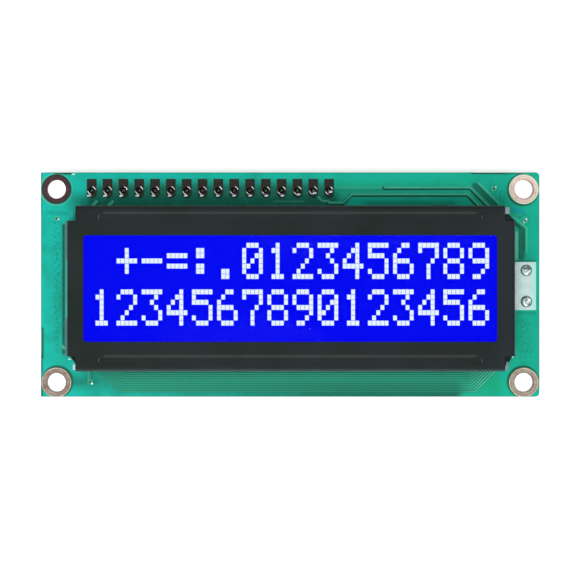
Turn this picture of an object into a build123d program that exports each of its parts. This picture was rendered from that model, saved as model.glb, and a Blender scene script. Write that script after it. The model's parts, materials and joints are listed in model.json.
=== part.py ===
from build123d import *
import math
import os

# A two-line character display module that lies on its back. A green circuit board carries a black steel bezel,
# and under the bezel's window lies a liquid crystal cell that is lit from behind.
# Millimetres. +X runs along the board, +Y towards the row of sixteen plated holes, +Z out through the window.
# The origin is under the board's centre, on the surface that the bezel's twisted tabs stand on.

# Text block
columns = 16
lines = 2
dots_across = 5
dots_down = 8
dot_pitch_x = 0.66
dot_pitch_y = 0.825
dot_gap = 0.06
cell_gap = 0.68
line_gap = 0.77

# Window and bezel
window_margin_x = 1.18
window_margin_above = 1.17
window_margin_below = 1.72
window_corner_radius = 0.5
bezel_sheet = 0.4
bezel_bend_radius = 0.6
notch_length = 1.6
notch_width = 2.4
rib_from_end = 5.2
rib_width = 1.45
rib_height = 0.15
rib_from_edge = 1.8

# Bezel tabs, four on each long wall, twisted under the board
tabs_per_side = 4
tab_pitch = 16.0
tab_width = 2.0
tab_drop = 1.6
tab_twist = 28.0
tab_clearance = 0.25
tab_grip = 0.1

# Circuit board
board_margin_x = 4.5
board_margin_above = 5.53
board_margin_below = 4.27
board_thickness = 1.6
board_corner_radius = 0.6
copper = 0.05
plating = 0.05
copper_setback = 0.06
break_bevel = 0.45
break_lengths = (2.6, 8.0)
break_from_left = 3.7
break_from_right = 6.5
left_break_length = 3.9
left_break_from_lower_edge = 8.7

# Mounting holes
hole_diameter = 3.0
ring_diameter = 4.8
hole_from_end = 2.5
hole_from_upper_edge = 2.7
hole_from_lower_edge = 2.3

# Row of plated holes for a header
header_count = 16
header_pitch = 2.54
header_from_left = 8.15
header_from_upper_edge = 2.9
header_hole_diameter = 1.0
header_land_border = 0.275
header_pad_above = 1.85
solder_rim_setback = 0.1
solder_rim_bead = 0.09
solder_drop_radius = 0.26
solder_drop_height = 0.22
solder_drop_angle = 16.0
solder_gap = 0.02

# Vias
via_diameter = 0.9
via_hole_diameter = 0.4
left_via_from_end = 2.55
left_via_below_bezel_edge = 1.9
corner_via_from_end = 7.3
corner_via_from_upper_edge = 2.6
right_via_from_end = 2.3
right_via_below_bezel_edge = 2.2
bus_via_from_end = 7.9
bus_via_below_bezel = 1.9

# Traces
trace_width = 0.2
wide_trace_width = 0.4
bus_lines = 9
bus_pitch = 0.36
bus_from_lower_edge = 0.86
bus_from_left = 12.4
bus_from_right = 10.3
trace_end_clearance = 0.05
long_trace_length = 13.7
long_trace_from_right = 11.1
long_trace_rise = 0.5
long_trace_drop = 0.6
link_length = 2.3
pour_setback = 0.5
pour_clearance = 0.6
pour_from_right = 9.7
pour_corner_depth = 1.7
pour_edge_from_right = 2.2
pour_bezel_clearance = 0.6
pour_strip_clearance = 1.2
back_trace_pitch = 1.0
back_trace_clearance = 0.8
back_trace_length = 3.2

# Display cell
glass_thickness = 1.1
polarizer_thickness = 0.2
polarizer_overlap = 0.75
crystal_thickness = 0.03
dot_thickness = 0.03
crystal_overlap = 0.3
seal_width = 0.6
seal_end_margin = 0.25
seal_side_margin = 0.4
glass_side_clearance = 0.3
glass_end_clearance = 0.1
plug_width = 3.0
plug_depth = 0.5

# Elastomer connectors
elastomer_width = 2.0
elastomer_setback = 0.3
elastomer_end_clearance = 0.8
contact_pitch = 1.6
contact_width = 0.9
contact_setback = 0.2

# Backlight
backlight_board_thickness = 0.8
reflector_height = 3.15
reflector_wall = 1.0
diffuser_thickness = 1.0
backlight_clearance = 0.4
led_columns = 12
led_end_clearance = 3.2
led_side_clearance = 3.67
led_length = 2.0
led_width = 1.25
led_height = 0.7
lead_tab_border = 0.42
lead_tab_shift = 0.4
lead_tab_from_end = 0.6
lead_tab_clearance = 0.3
lead_spacing = 5.0
lead_from_tab_end = 1.55
lead_diameter = 0.6
lead_stub = 0.7
lead_solder_diameter = 1.86
lead_solder_height = 0.45

# Back of the board
blob_diameter = 12.0
blob_height = 1.25
blob_offset_x = 15.0
die_side = 3.4
die_thickness = 0.4
chip_length = 2.0
chip_width = 1.25
chip_height = 0.55
chip_terminal = 0.35
resistor_count = 5
chip_pitch = 2.8
resistor_from_right = 16.0
capacitor_from_left = 7.0
chip_row_offset = 7.5

# Lengths that follow from the ones above
cell_pitch_x = dots_across * dot_pitch_x + cell_gap
line_pitch = dots_down * dot_pitch_y + line_gap
text_length = (columns - 1) * cell_pitch_x + dots_across * dot_pitch_x - dot_gap
text_width = (lines - 1) * line_pitch + dots_down * dot_pitch_y - dot_gap
window_length = text_length + 2 * window_margin_x
window_width = text_width + window_margin_above + window_margin_below
crystal_length = window_length + 2 * crystal_overlap
crystal_width = window_width + 2 * crystal_overlap
glass_length = crystal_length + 2 * (seal_width + seal_end_margin)
rear_glass_width = crystal_width + 2 * (seal_width + seal_side_margin)
front_glass_width = rear_glass_width + 2 * (backlight_clearance + elastomer_width + elastomer_setback)
bezel_length = glass_length + 2 * (glass_end_clearance + notch_length)
bezel_width = front_glass_width + 2 * (glass_side_clearance + bezel_sheet)
board_length = bezel_length + 2 * board_margin_x
board_width = bezel_width + board_margin_above + board_margin_below
board_right = board_length / 2
board_upper = board_width / 2
bezel_y = (board_margin_below - board_margin_above) / 2
bezel_right = bezel_length / 2
bezel_upper = bezel_y + bezel_width / 2
bezel_lower = bezel_y - bezel_width / 2
text_upper = bezel_y + window_width / 2 - window_margin_above
inner_length = bezel_length - 2 * bezel_sheet
inner_width = bezel_width - 2 * bezel_sheet

elastomer_y = front_glass_width / 2 - elastomer_setback - elastomer_width / 2
elastomer_length = glass_length - 2 * elastomer_end_clearance
contact_count = int(elastomer_length / contact_pitch)
well_length = glass_length - 2 * reflector_wall
well_width = rear_glass_width - 2 * reflector_wall
rib_length = bezel_length - 2 * rib_from_end
polarizer_length = window_length + 2 * polarizer_overlap
polarizer_width = window_width + 2 * polarizer_overlap

# Heights, from the lowest to the highest
board_bottom = tab_drop
board_top = board_bottom + board_thickness
backlight_top = board_top + backlight_board_thickness
reflector_top = backlight_top + reflector_height
diffuser_top = reflector_top + diffuser_thickness
rear_polarizer_top = diffuser_top + polarizer_thickness
rear_glass_top = rear_polarizer_top + glass_thickness
crystal_top = rear_glass_top + crystal_thickness
cell_top = crystal_top + dot_thickness
front_glass_top = cell_top + glass_thickness
bezel_underside = front_glass_top + polarizer_thickness
bezel_face = bezel_underside + bezel_sheet

# Rows of places that several pieces share
hole_x = board_right - hole_from_end
hole_upper_y = board_upper - hole_from_upper_edge
hole_lower_y = -board_upper + hole_from_lower_edge
header_y = board_upper - header_from_upper_edge
header_x = [-board_right + header_from_left + i * header_pitch for i in range(header_count)]
tab_x = [(i - (tabs_per_side - 1) / 2) * tab_pitch for i in range(tabs_per_side)]
tab_y = [bezel_upper - bezel_sheet / 2, bezel_lower + bezel_sheet / 2]
lead_tab_end = board_right - lead_tab_from_end
lead_x = lead_tab_end - lead_from_tab_end
lead_tab_y = bezel_y + lead_tab_shift
lead_tab_width = lead_spacing + lead_solder_diameter + 2 * lead_tab_border
header_pad_width = header_hole_diameter + 2 * header_land_border
lead_y = [lead_tab_y + lead_spacing / 2, lead_tab_y - lead_spacing / 2]
solder_rim_radius = header_hole_diameter / 2 + solder_rim_setback
solder_drop_reach = solder_rim_radius + solder_rim_bead + solder_gap + solder_drop_radius
break_places = (-board_right + break_from_left, board_right - break_from_right)
header_pad_below = solder_drop_reach + solder_drop_radius + solder_gap
via_places = [
    (-board_right + left_via_from_end, bezel_upper - left_via_below_bezel_edge),
    (board_right - corner_via_from_end, board_upper - corner_via_from_upper_edge),
    (board_right - right_via_from_end, bezel_upper - right_via_below_bezel_edge),
    (-board_right + bus_via_from_end, bezel_lower - bus_via_below_bezel),
]


def block(length, width, height, x, y, z):
    """A block centred on x and y that stands on z."""
    return Pos(x, y, z + height / 2) * Box(length, width, height)


def rod(radius, height, x, y, z):
    """A round bar centred on x and y that stands on z."""
    return Pos(x, y, z + height / 2) * Cylinder(radius, height)


def dome(radius, height, x, y, z, up=True):
    """A cap cut from a ball, lying with its flat face on z. It bulges up, or down."""
    ball = (radius**2 + height**2) / (2 * height)
    sign = 1 if up else -1
    centre = z + sign * (height - ball)
    middle = z + sign * height / 2
    return Pos(x, y, centre) * Sphere(ball) & Pos(x, y, middle) * Box(3 * radius, 3 * radius, height)


def save(name, solids):
    """Writes one node, of one solid or a group of separate ones."""
    shape = Compound(children=list(solids)) if isinstance(solids, list) else solids
    export_step(shape, f"parts/{name}.step")


def board_outline(setback):
    """The board's outline as a flat face, drawn in by setback. Only its right-hand corners are rounded."""
    face = Rectangle(board_length - 2 * setback, board_width - 2 * setback)
    right_corners = face.vertices().sort_by(Axis.X)[-2:]
    return fillet(right_corners, max(board_corner_radius - setback, 0.05))


def drill(diameter, x, y):
    """The cutter for a hole that goes right through the board and the backlight's board on it."""
    depth = 2 * board_thickness + 2 * backlight_board_thickness
    return rod(diameter / 2, depth, x, y, board_bottom - board_thickness / 2)


def tombstone():
    """One header pad as a flat face about its hole: square at the upper end and round at the lower one."""
    straight = header_pad_above + header_pad_below - header_pad_width / 2
    round_y = header_pad_width / 2 - header_pad_below
    body = Pos(0, round_y + straight / 2) * Rectangle(header_pad_width, straight)
    return body + Pos(0, round_y) * Circle(header_pad_width / 2)


def plated_hole(face, hole_radius, x, y):
    """An eyelet of copper: a land of this shape on each side of the board and the lining that joins them."""
    land = extrude(face, copper)
    lining = rod(hole_radius + plating, board_thickness, x, y, board_bottom)
    lands = Pos(x, y, board_top) * land + Pos(x, y, board_bottom - copper) * land
    return lands + lining - drill(2 * hole_radius, x, y)


def trace(points, z, width=trace_width):
    """A line of copper that stands on z and runs through the points, with round ends and corners."""
    runs = []
    for start, end in zip(points, points[1:]):
        run = Vector(*end) - Vector(*start)
        middle = (Vector(*start) + Vector(*end)) / 2
        turn = Rot(0, 0, math.degrees(math.atan2(run.Y, run.X)))
        runs.append(Pos(middle.X, middle.Y, z) * turn * extrude(SlotCenterToCenter(run.length, width), copper))
    return runs[0] + runs[1:]


def circuit_board():
    """The board, with every hole and slot that goes through it and the bevels left where it was broken off."""
    board = Pos(0, 0, board_bottom) * extrude(board_outline(0), board_thickness)
    cutters = []
    for x in (-hole_x, hole_x):
        for y in (hole_upper_y, hole_lower_y):
            cutters.append(drill(hole_diameter + 2 * plating, x, y))
    for x in header_x:
        cutters.append(drill(header_hole_diameter + 2 * plating, x, header_y))
    for x, y in via_places:
        cutters.append(drill(via_hole_diameter + 2 * plating, x, y))
    for y in lead_y:
        cutters.append(drill(lead_diameter, lead_x, y))
    slot_length = tab_width + 2 * tab_clearance
    slot_width = bezel_sheet + 2 * tab_clearance
    slot = block(slot_length, slot_width, 3 * board_thickness, 0, 0, board_bottom - board_thickness)
    for x in tab_x:
        for y in tab_y:
            cutters.append(Pos(x, y, 0) * slot)
    for length, place in zip(break_lengths, break_places):
        wedge = Rot(45, 0, 0) * Box(length, break_bevel, break_bevel)
        cutters.append(Pos(place, board_upper, board_top) * wedge)
    left_wedge = Rot(0, 45, 0) * Box(break_bevel, left_break_length, break_bevel)
    cutters.append(Pos(-board_right, -board_upper + left_break_from_lower_edge, board_top) * left_wedge)
    return board - cutters


def mounting_rings():
    """The four plated mounting holes by name, with lands that are trimmed short of the board's edge."""
    rings = {}
    inside = Pos(0, 0, board_bottom - 1) * extrude(board_outline(copper_setback), board_thickness + 2)
    for side, x in (("left", -hole_x), ("right", hole_x)):
        for level, y in (("upper", hole_upper_y), ("lower", hole_lower_y)):
            ring = plated_hole(Circle(ring_diameter / 2), hole_diameter / 2, x, y)
            rings[f"mounting_ring_{level}_{side}"] = ring & inside
    return rings


def header_pads():
    """The sixteen plated holes of the header, open, each in an oblong land."""
    return [plated_hole(tombstone(), header_hole_diameter / 2, x, header_y) for x in header_x]


def header_solder_rims():
    """A half-round bead of solder on the land about each header hole."""
    pad_top = board_top + copper
    above = block(4 * solder_rim_radius, 4 * solder_rim_radius, solder_rim_bead, 0, 0, 0)
    bead = Torus(solder_rim_radius, solder_rim_bead) & above
    return [Pos(x, header_y, pad_top) * bead for x in header_x]


def header_solder_drops():
    """A drop of solder at the lower left of each land, or at its lower right on the last two."""
    along = solder_drop_reach * math.sin(math.radians(solder_drop_angle))
    below = solder_drop_reach * math.cos(math.radians(solder_drop_angle))
    drops = []
    for i, x in enumerate(header_x):
        side = 1 if i >= header_count - 2 else -1
        place = (x + side * along, header_y - below, board_top + copper)
        drops.append(dome(solder_drop_radius, solder_drop_height, *place))
    return drops


def vias():
    """The plated holes that join the two sides of the board."""
    return [plated_hole(Circle(via_diameter / 2), via_hole_diameter / 2, x, y) for x, y in via_places]


def front_traces():
    """Copper lines on the front: the bus under the bezel's lower edge, two long lines and the short links."""
    near = bezel_lower - trace_end_clearance - trace_width / 2
    rows = []
    outer_y = -board_upper + bus_from_lower_edge
    step = bus_pitch / 2
    for i in range(bus_lines):
        y = outer_y + i * bus_pitch
        rise = near - y
        left = -board_right + bus_from_left + i * step
        right = board_right - bus_from_right - i * step
        if rise > trace_width:
            rows.append(trace([(left - rise, near), (left, y), (right, y), (right + rise, near)], board_top))
    above = bezel_upper + trace_end_clearance + trace_width / 2
    upper_y = header_y + long_trace_rise
    upper_end = board_right - long_trace_from_right
    upper_start = upper_end - long_trace_length
    upper_finish = (upper_end + upper_y - above, above)
    rows.append(trace([(upper_start, upper_y), (upper_end, upper_y), upper_finish], board_top))
    lower_y = header_y - long_trace_drop
    lower_end = upper_end - 2 * trace_width
    link_y = (header_y - header_pad_below + bezel_upper) / 2
    link_start = header_x[-1]
    link_end = link_start + link_length
    link = [(link_start, link_y), (link_end, link_y), (link_end + lower_y - link_y, lower_y)]
    rows.append(trace([*link, (lower_end, lower_y), (lower_end + lower_y - above, above)], board_top))
    wide_end = bezel_upper + trace_end_clearance + wide_trace_width / 2
    for x in header_x[:2]:
        start = x + header_pad_width / 2
        rise = (header_y - header_pad_below - wide_end) / 2
        rows.append(trace([(start, wide_end + rise), (start - rise, wide_end)], board_top, wide_trace_width))
    x, y = via_places[3]
    rows.append(trace([(x, near), (x, y + via_diameter / 2 + trace_width)], board_top))
    return rows


def front_pour():
    """The broad copper areas on the front, kept clear of the rings, the vias, the bezel and the lead tab."""
    upper = board_upper - pour_setback
    right = board_right - pour_setback
    clear = ring_diameter / 2 + pour_clearance
    tab_edge = lead_tab_y + lead_tab_width / 2 + 2 * pour_clearance
    corner = Polygon(
        (board_right - pour_from_right, upper),
        (board_right - pour_from_right, board_upper - pour_corner_depth),
        (bezel_right - notch_length - pour_bezel_clearance, bezel_upper + pour_bezel_clearance),
        (bezel_right + pour_bezel_clearance / 2, bezel_upper - notch_width + 2 * pour_bezel_clearance),
        (board_right - pour_edge_from_right, bezel_upper - notch_width - pour_clearance),
        (board_right - pour_edge_from_right, tab_edge),
        (right, tab_edge),
        (right, upper),
        align=None,
    )
    strip_length = bezel_width - 2 * notch_width
    strip_width = board_margin_x - pour_strip_clearance - pour_setback
    strip_x = -board_right + pour_setback + strip_width / 2
    strip = Pos(strip_x, bezel_y) * Rectangle(strip_width, strip_length)
    rings = Pos(hole_x, hole_upper_y) * Circle(clear)
    holes = [Pos(x, y) * Circle(via_diameter / 2 + trace_width) for x, y in via_places]
    areas = corner + strip - rings - holes
    return [Pos(0, 0, board_top) * extrude(face, copper) for face in areas.faces()]


def back_traces():
    """Copper lines on the back, from the two covered chips towards the header."""
    z = board_bottom - copper
    rows = []
    reach = blob_diameter / 2 + back_trace_clearance
    bend = back_trace_clearance
    for i in range(6):
        x = (i - 2.5) * back_trace_pitch - blob_offset_x
        end = reach + back_trace_length
        rows.append(trace([(x, reach), (x, end), (x + bend, end + bend)], z))
        rows.append(trace([(x, -reach), (x, -end)], z))
    for i in range(4):
        y = (i - 1.5) * back_trace_pitch
        rows.append(trace([(reach - blob_offset_x, y), (blob_offset_x - reach, y)], z))
    return rows


def bezel():
    """The black steel frame, folded from one sheet, with its window, two pressed ribs and eight tabs."""
    height = bezel_face - board_top
    outer = block(bezel_length, bezel_width, height, 0, bezel_y, board_top)
    outer = fillet(outer.edges().group_by(Axis.Z)[-1], bezel_bend_radius)
    inner = block(inner_length, inner_width, height - bezel_sheet, 0, bezel_y, board_top)
    inner = fillet(inner.edges().group_by(Axis.Z)[-1], max(bezel_bend_radius - bezel_sheet, 0.1))
    window = Pos(0, bezel_y, bezel_underside - 1) * extrude(
        RectangleRounded(window_length, window_width, window_corner_radius), bezel_sheet + 2
    )
    frame = outer - inner - window
    for x in (-1, 1):
        for y in (-1, 1):
            notch_x = x * (bezel_length - notch_length) / 2
            notch_y = bezel_y + y * (bezel_width - notch_width) / 2
            frame -= block(notch_length, notch_width, 3 * height, notch_x, notch_y, board_top - height)
    for side in (-1, 1):
        y = bezel_y + side * (bezel_width / 2 - rib_from_edge)
        rib = extrude(SlotOverall(rib_length, rib_width), rib_height)
        rib = chamfer(rib.edges().group_by(Axis.Z)[-1], rib_height * 0.8)
        hollow = extrude(SlotOverall(rib_length - bezel_sheet, rib_width - bezel_sheet), rib_height)
        frame += Pos(0, y, bezel_face) * rib
        frame -= Pos(0, y, bezel_underside) * hollow
    passage = lead_tab_width + 2 * lead_tab_clearance
    gap = backlight_board_thickness + lead_tab_clearance
    frame -= block(4 * bezel_sheet, passage, gap, bezel_right, lead_tab_y, board_top)
    for x in tab_x:
        for y in tab_y:
            grip_z = board_bottom - tab_grip
            straight = block(tab_width, bezel_sheet, board_thickness + tab_grip, x, y, grip_z)
            section = Rectangle(tab_width, bezel_sheet)
            twisted = loft([Pos(x, y, grip_z) * section, Pos(x, y, 0) * Rot(0, 0, tab_twist) * section])
            frame += straight
            frame += twisted
    return frame


def lit_dots():
    """The dots that are switched on. They show plain marks and digits."""
    patterns = {
        "0": (".###.", "#...#", "#..##", "#.#.#", "##..#", "#...#", ".###."),
        "1": ("..#..", ".##..", "..#..", "..#..", "..#..", "..#..", ".###."),
        "2": (".###.", "#...#", "....#", "...#.", "..#..", ".#...", "#####"),
        "3": ("#####", "...#.", "..#..", "...#.", "....#", "#...#", ".###."),
        "4": ("...#.", "..##.", ".#.#.", "#..#.", "#####", "...#.", "...#."),
        "5": ("#####", "#....", "####.", "....#", "....#", "#...#", ".###."),
        "6": ("..##.", ".#...", "#....", "####.", "#...#", "#...#", ".###."),
        "7": ("#####", "#...#", "....#", "...#.", "..#..", "..#..", "..#.."),
        "8": (".###.", "#...#", "#...#", ".###.", "#...#", "#...#", ".###."),
        "9": (".###.", "#...#", "#...#", ".####", "....#", "...#.", ".##.."),
        "+": (".....", "..#..", "..#..", "#####", "..#..", "..#..", "....."),
        "-": (".....", ".....", ".....", "#####", ".....", ".....", "....."),
        "=": (".....", ".....", "#####", ".....", "#####", ".....", "....."),
        ":": (".....", ".##..", ".##..", ".....", ".##..", ".##..", "....."),
        ".": (".....", ".....", ".....", ".....", ".....", ".##..", ".##.."),
    }
    messages = (" +-=:.0123456789", "1234567890123456")
    length = dot_pitch_x - dot_gap
    width = dot_pitch_y - dot_gap
    dots = []
    for line, message in enumerate(messages):
        for column, mark in enumerate(message):
            for row, pattern in enumerate(patterns.get(mark, ())):
                for place, state in enumerate(pattern):
                    if state == "#":
                        x = -text_length / 2 + column * cell_pitch_x + place * dot_pitch_x + length / 2
                        y = text_upper - line * line_pitch - row * dot_pitch_y - width / 2
                        dots.append(block(length, width, dot_thickness, x, y, crystal_top))
    return dots


def contacts():
    """The two rows of contact lands that the elastomer connectors stand on."""
    lands = []
    length = elastomer_width - 2 * contact_setback
    for side in (-1, 1):
        for i in range(contact_count):
            x = (i - (contact_count - 1) / 2) * contact_pitch
            lands.append(block(contact_width, length, copper, x, bezel_y + side * elastomer_y, board_top))
    return lands


def backlight_board():
    """The white board that carries the light sources, with a tab that reaches out under the bezel."""
    body = block(glass_length, rear_glass_width, backlight_board_thickness, 0, bezel_y, board_top)
    tab_start = well_length / 2
    tab_length = lead_tab_end - tab_start
    tab_middle = tab_start + tab_length / 2
    tab = block(tab_length, lead_tab_width, backlight_board_thickness, tab_middle, lead_tab_y, board_top)
    return body + tab - [drill(lead_diameter, lead_x, y) for y in lead_y]


def backlight_leds():
    """Two rows of light sources on the backlight's board."""
    leds = []
    first_x = -well_length / 2 + led_end_clearance + led_length / 2
    pitch = -2 * first_x / (led_columns - 1)
    row_y = well_width / 2 - led_side_clearance - led_width / 2
    for side in (-1, 1):
        for i in range(led_columns):
            x = first_x + i * pitch
            leds.append(block(led_length, led_width, led_height, x, bezel_y + side * row_y, backlight_top))
    return leds


def chips(places):
    """The ceramic bodies and the end caps of a row of chip components under the board."""
    bodies = []
    caps = []
    z = board_bottom - chip_height
    for x, y in places:
        bodies.append(block(chip_length - 2 * chip_terminal, chip_width, chip_height, x, y, z))
        for side in (-1, 1):
            cap_x = x + side * (chip_length - chip_terminal) / 2
            caps.append(block(chip_terminal, chip_width, chip_height, cap_x, y, z))
    return bodies, caps


os.makedirs("parts", exist_ok=True)

# Circuit board and its copper
save("circuit_board", circuit_board())
for name, ring in mounting_rings().items():
    save(name, ring)
save("header_pads", header_pads())
save("header_solder_rims", header_solder_rims())
save("header_solder_drops", header_solder_drops())
save("vias", vias())
save("front_traces", front_traces())
save("front_copper_pour", front_pour())
save("back_traces", back_traces())
save("connector_contacts", contacts())

# Bezel
save("bezel", bezel())

# Display cell
polarizer = block(polarizer_length, polarizer_width, polarizer_thickness, 0, bezel_y, 0)
save("rear_polarizer", Pos(0, 0, diffuser_top) * polarizer)
save("rear_glass", block(glass_length, rear_glass_width, glass_thickness, 0, bezel_y, rear_polarizer_top))
seal_height = crystal_thickness + dot_thickness
seal_outside = Rectangle(crystal_length + 2 * seal_width, crystal_width + 2 * seal_width)
seal = extrude(seal_outside - Rectangle(crystal_length, crystal_width), seal_height)
save("cell_seal", Pos(0, bezel_y, rear_glass_top) * seal)
crystal = block(crystal_length, crystal_width, crystal_thickness, 0, bezel_y, rear_glass_top)
save("liquid_crystal_layer", crystal)
save("lit_dots", lit_dots())
save("front_glass", block(glass_length, front_glass_width, glass_thickness, 0, bezel_y, cell_top))
save("front_polarizer", Pos(0, 0, front_glass_top) * polarizer)
plug_x = -glass_length / 2 - plug_depth / 2
plug_height = glass_thickness + seal_height
plug_bottom = rear_polarizer_top + glass_thickness / 2
save("fill_port_plug", block(plug_depth, plug_width, plug_height, plug_x, bezel_y, plug_bottom))

# Elastomer connectors between the board and the front glass
for name, side in (("elastomer_connector_upper", 1), ("elastomer_connector_lower", -1)):
    height = cell_top - board_top - copper
    strip_y = bezel_y + side * elastomer_y
    save(name, block(elastomer_length, elastomer_width, height, 0, strip_y, board_top + copper))

# Backlight
save("backlight_board", backlight_board())
save("backlight_leds", backlight_leds())
frame_body = block(glass_length, rear_glass_width, reflector_height, 0, bezel_y, backlight_top)
well = block(well_length, well_width, 3 * reflector_height, 0, bezel_y, board_top)
save("reflector_frame", frame_body - well)
save("diffuser_plate", block(glass_length, rear_glass_width, diffuser_thickness, 0, bezel_y, reflector_top))
lead_length = lead_stub + board_thickness + backlight_board_thickness
solder_radius = lead_solder_diameter / 2
leads = []
front_solder = []
back_solder = []
for y in lead_y:
    leads.append(rod(lead_diameter / 2, lead_length, lead_x, y, board_bottom - lead_stub))
    front_solder.append(dome(solder_radius, lead_solder_height, lead_x, y, backlight_top))
    cone = Cone(lead_diameter / 2 + plating, solder_radius, lead_stub)
    back_solder.append(Pos(lead_x, y, board_bottom - lead_stub / 2) * cone - leads[-1])
save("backlight_leads", leads)
save("backlight_solder_front", front_solder)
save("backlight_solder_back", back_solder)

# Covered chips under the board
for name, x in (("controller", -blob_offset_x), ("driver", blob_offset_x)):
    die = block(die_side, die_side, die_thickness, x, 0, board_bottom - die_thickness)
    save(f"{name}_die", die)
    save(f"{name}_cover", dome(blob_diameter / 2, blob_height, x, 0, board_bottom, up=False) - die)

# Chip components under the board
first_resistor_x = board_right - resistor_from_right
resistor_places = [(first_resistor_x + i * chip_pitch, chip_row_offset) for i in range(resistor_count)]
capacitor_places = [(-board_right + capacitor_from_left, side * chip_row_offset) for side in (-1, 1)]
resistor_bodies, resistor_caps = chips(resistor_places)
capacitor_bodies, capacitor_caps = chips(capacitor_places)
save("chip_resistors", resistor_bodies)
save("resistor_end_caps", resistor_caps)
save("chip_capacitors", capacitor_bodies)
save("capacitor_end_caps", capacitor_caps)
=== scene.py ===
import json
import math

import bpy
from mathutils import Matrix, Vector

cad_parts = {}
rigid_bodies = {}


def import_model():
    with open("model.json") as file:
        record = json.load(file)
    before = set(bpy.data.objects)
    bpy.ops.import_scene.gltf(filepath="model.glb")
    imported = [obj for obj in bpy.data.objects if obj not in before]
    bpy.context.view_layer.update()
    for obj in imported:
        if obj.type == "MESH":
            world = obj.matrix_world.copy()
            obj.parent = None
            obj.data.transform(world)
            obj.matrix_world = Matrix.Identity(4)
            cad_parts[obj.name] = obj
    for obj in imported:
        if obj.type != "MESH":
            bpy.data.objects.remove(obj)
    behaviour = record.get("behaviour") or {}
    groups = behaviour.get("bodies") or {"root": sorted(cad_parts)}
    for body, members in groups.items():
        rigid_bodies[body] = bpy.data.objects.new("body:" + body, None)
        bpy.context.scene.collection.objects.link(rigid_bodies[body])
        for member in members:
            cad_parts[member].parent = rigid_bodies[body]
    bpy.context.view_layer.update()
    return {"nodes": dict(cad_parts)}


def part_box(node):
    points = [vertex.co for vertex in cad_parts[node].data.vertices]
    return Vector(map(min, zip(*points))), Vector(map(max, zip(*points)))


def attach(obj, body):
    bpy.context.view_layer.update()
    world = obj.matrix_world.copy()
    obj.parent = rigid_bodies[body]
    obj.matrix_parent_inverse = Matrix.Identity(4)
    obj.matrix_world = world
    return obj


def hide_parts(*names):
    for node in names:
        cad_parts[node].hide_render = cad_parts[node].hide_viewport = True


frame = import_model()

bl_info = {
    "name": "Character display module",
    "version": (1, 0, 0),
    "blender": (4, 5, 0),
    "location": "3D View > Sidebar > Display Module",
    "description": "Dresses the parts of a two-line character display module",
    "category": "Object",
}

MM = 0.001


def linear(red, green, blue):
    """A colour given as screen values from 0 to 255, as the linear values that materials hold."""
    values = []
    for level in (red, green, blue):
        share = level / 255
        values.append(share / 12.92 if share <= 0.04045 else ((share + 0.055) / 1.055) ** 2.4)
    return tuple(values)


def colour_property(name, description, red, green, blue):
    return bpy.props.FloatVectorProperty(
        name=name, description=description, subtype="COLOR", size=3, min=0.0, max=1.0, default=linear(red, green, blue)
    )


def length_property(name, description, millimetres):
    return bpy.props.FloatProperty(
        name=name, description=description, default=millimetres * MM, unit="LENGTH", subtype="DISTANCE", precision=5
    )


def share_property(name, description, default):
    return bpy.props.FloatProperty(name=name, description=description, default=default, min=0.0, max=10.0)


# Settings


class StageSettings(bpy.types.PropertyGroup):
    """Floor, lamps and camera"""

    camera_height: length_property("Camera height", "Height of the camera above the floor", 460.0)
    camera_x: length_property("Camera x", "Camera's place along the board", -0.746)
    camera_y: length_property("Camera y", "Camera's place across the board", -0.15)
    view_width: length_property("View width", "Width that the view takes in at the board's face", 91.65)
    floor_size: length_property("Floor size", "Side of the square floor", 6000.0)
    sky_light: share_property("Sky light", "Strength of the light from all round", 0.5)
    key_light: share_property("Key light", "Strength of the sun lamp above the lower edge", 1.15)
    side_light: share_property("Side light", "Power of the soft lamps at the left and at the front, in watts", 0.6)
    floor_glow: share_property("Floor glow", "What the open floor adds to reach white", 0.5)
    # Painted light: the floor's glow under the mounting holes
    hole_light_pool: share_property("Hole glow", "What the floor adds under the mounting holes", 0.8)
    floor_colour: colour_property("Floor colour", "Colour of the floor", 248, 248, 248)


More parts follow.
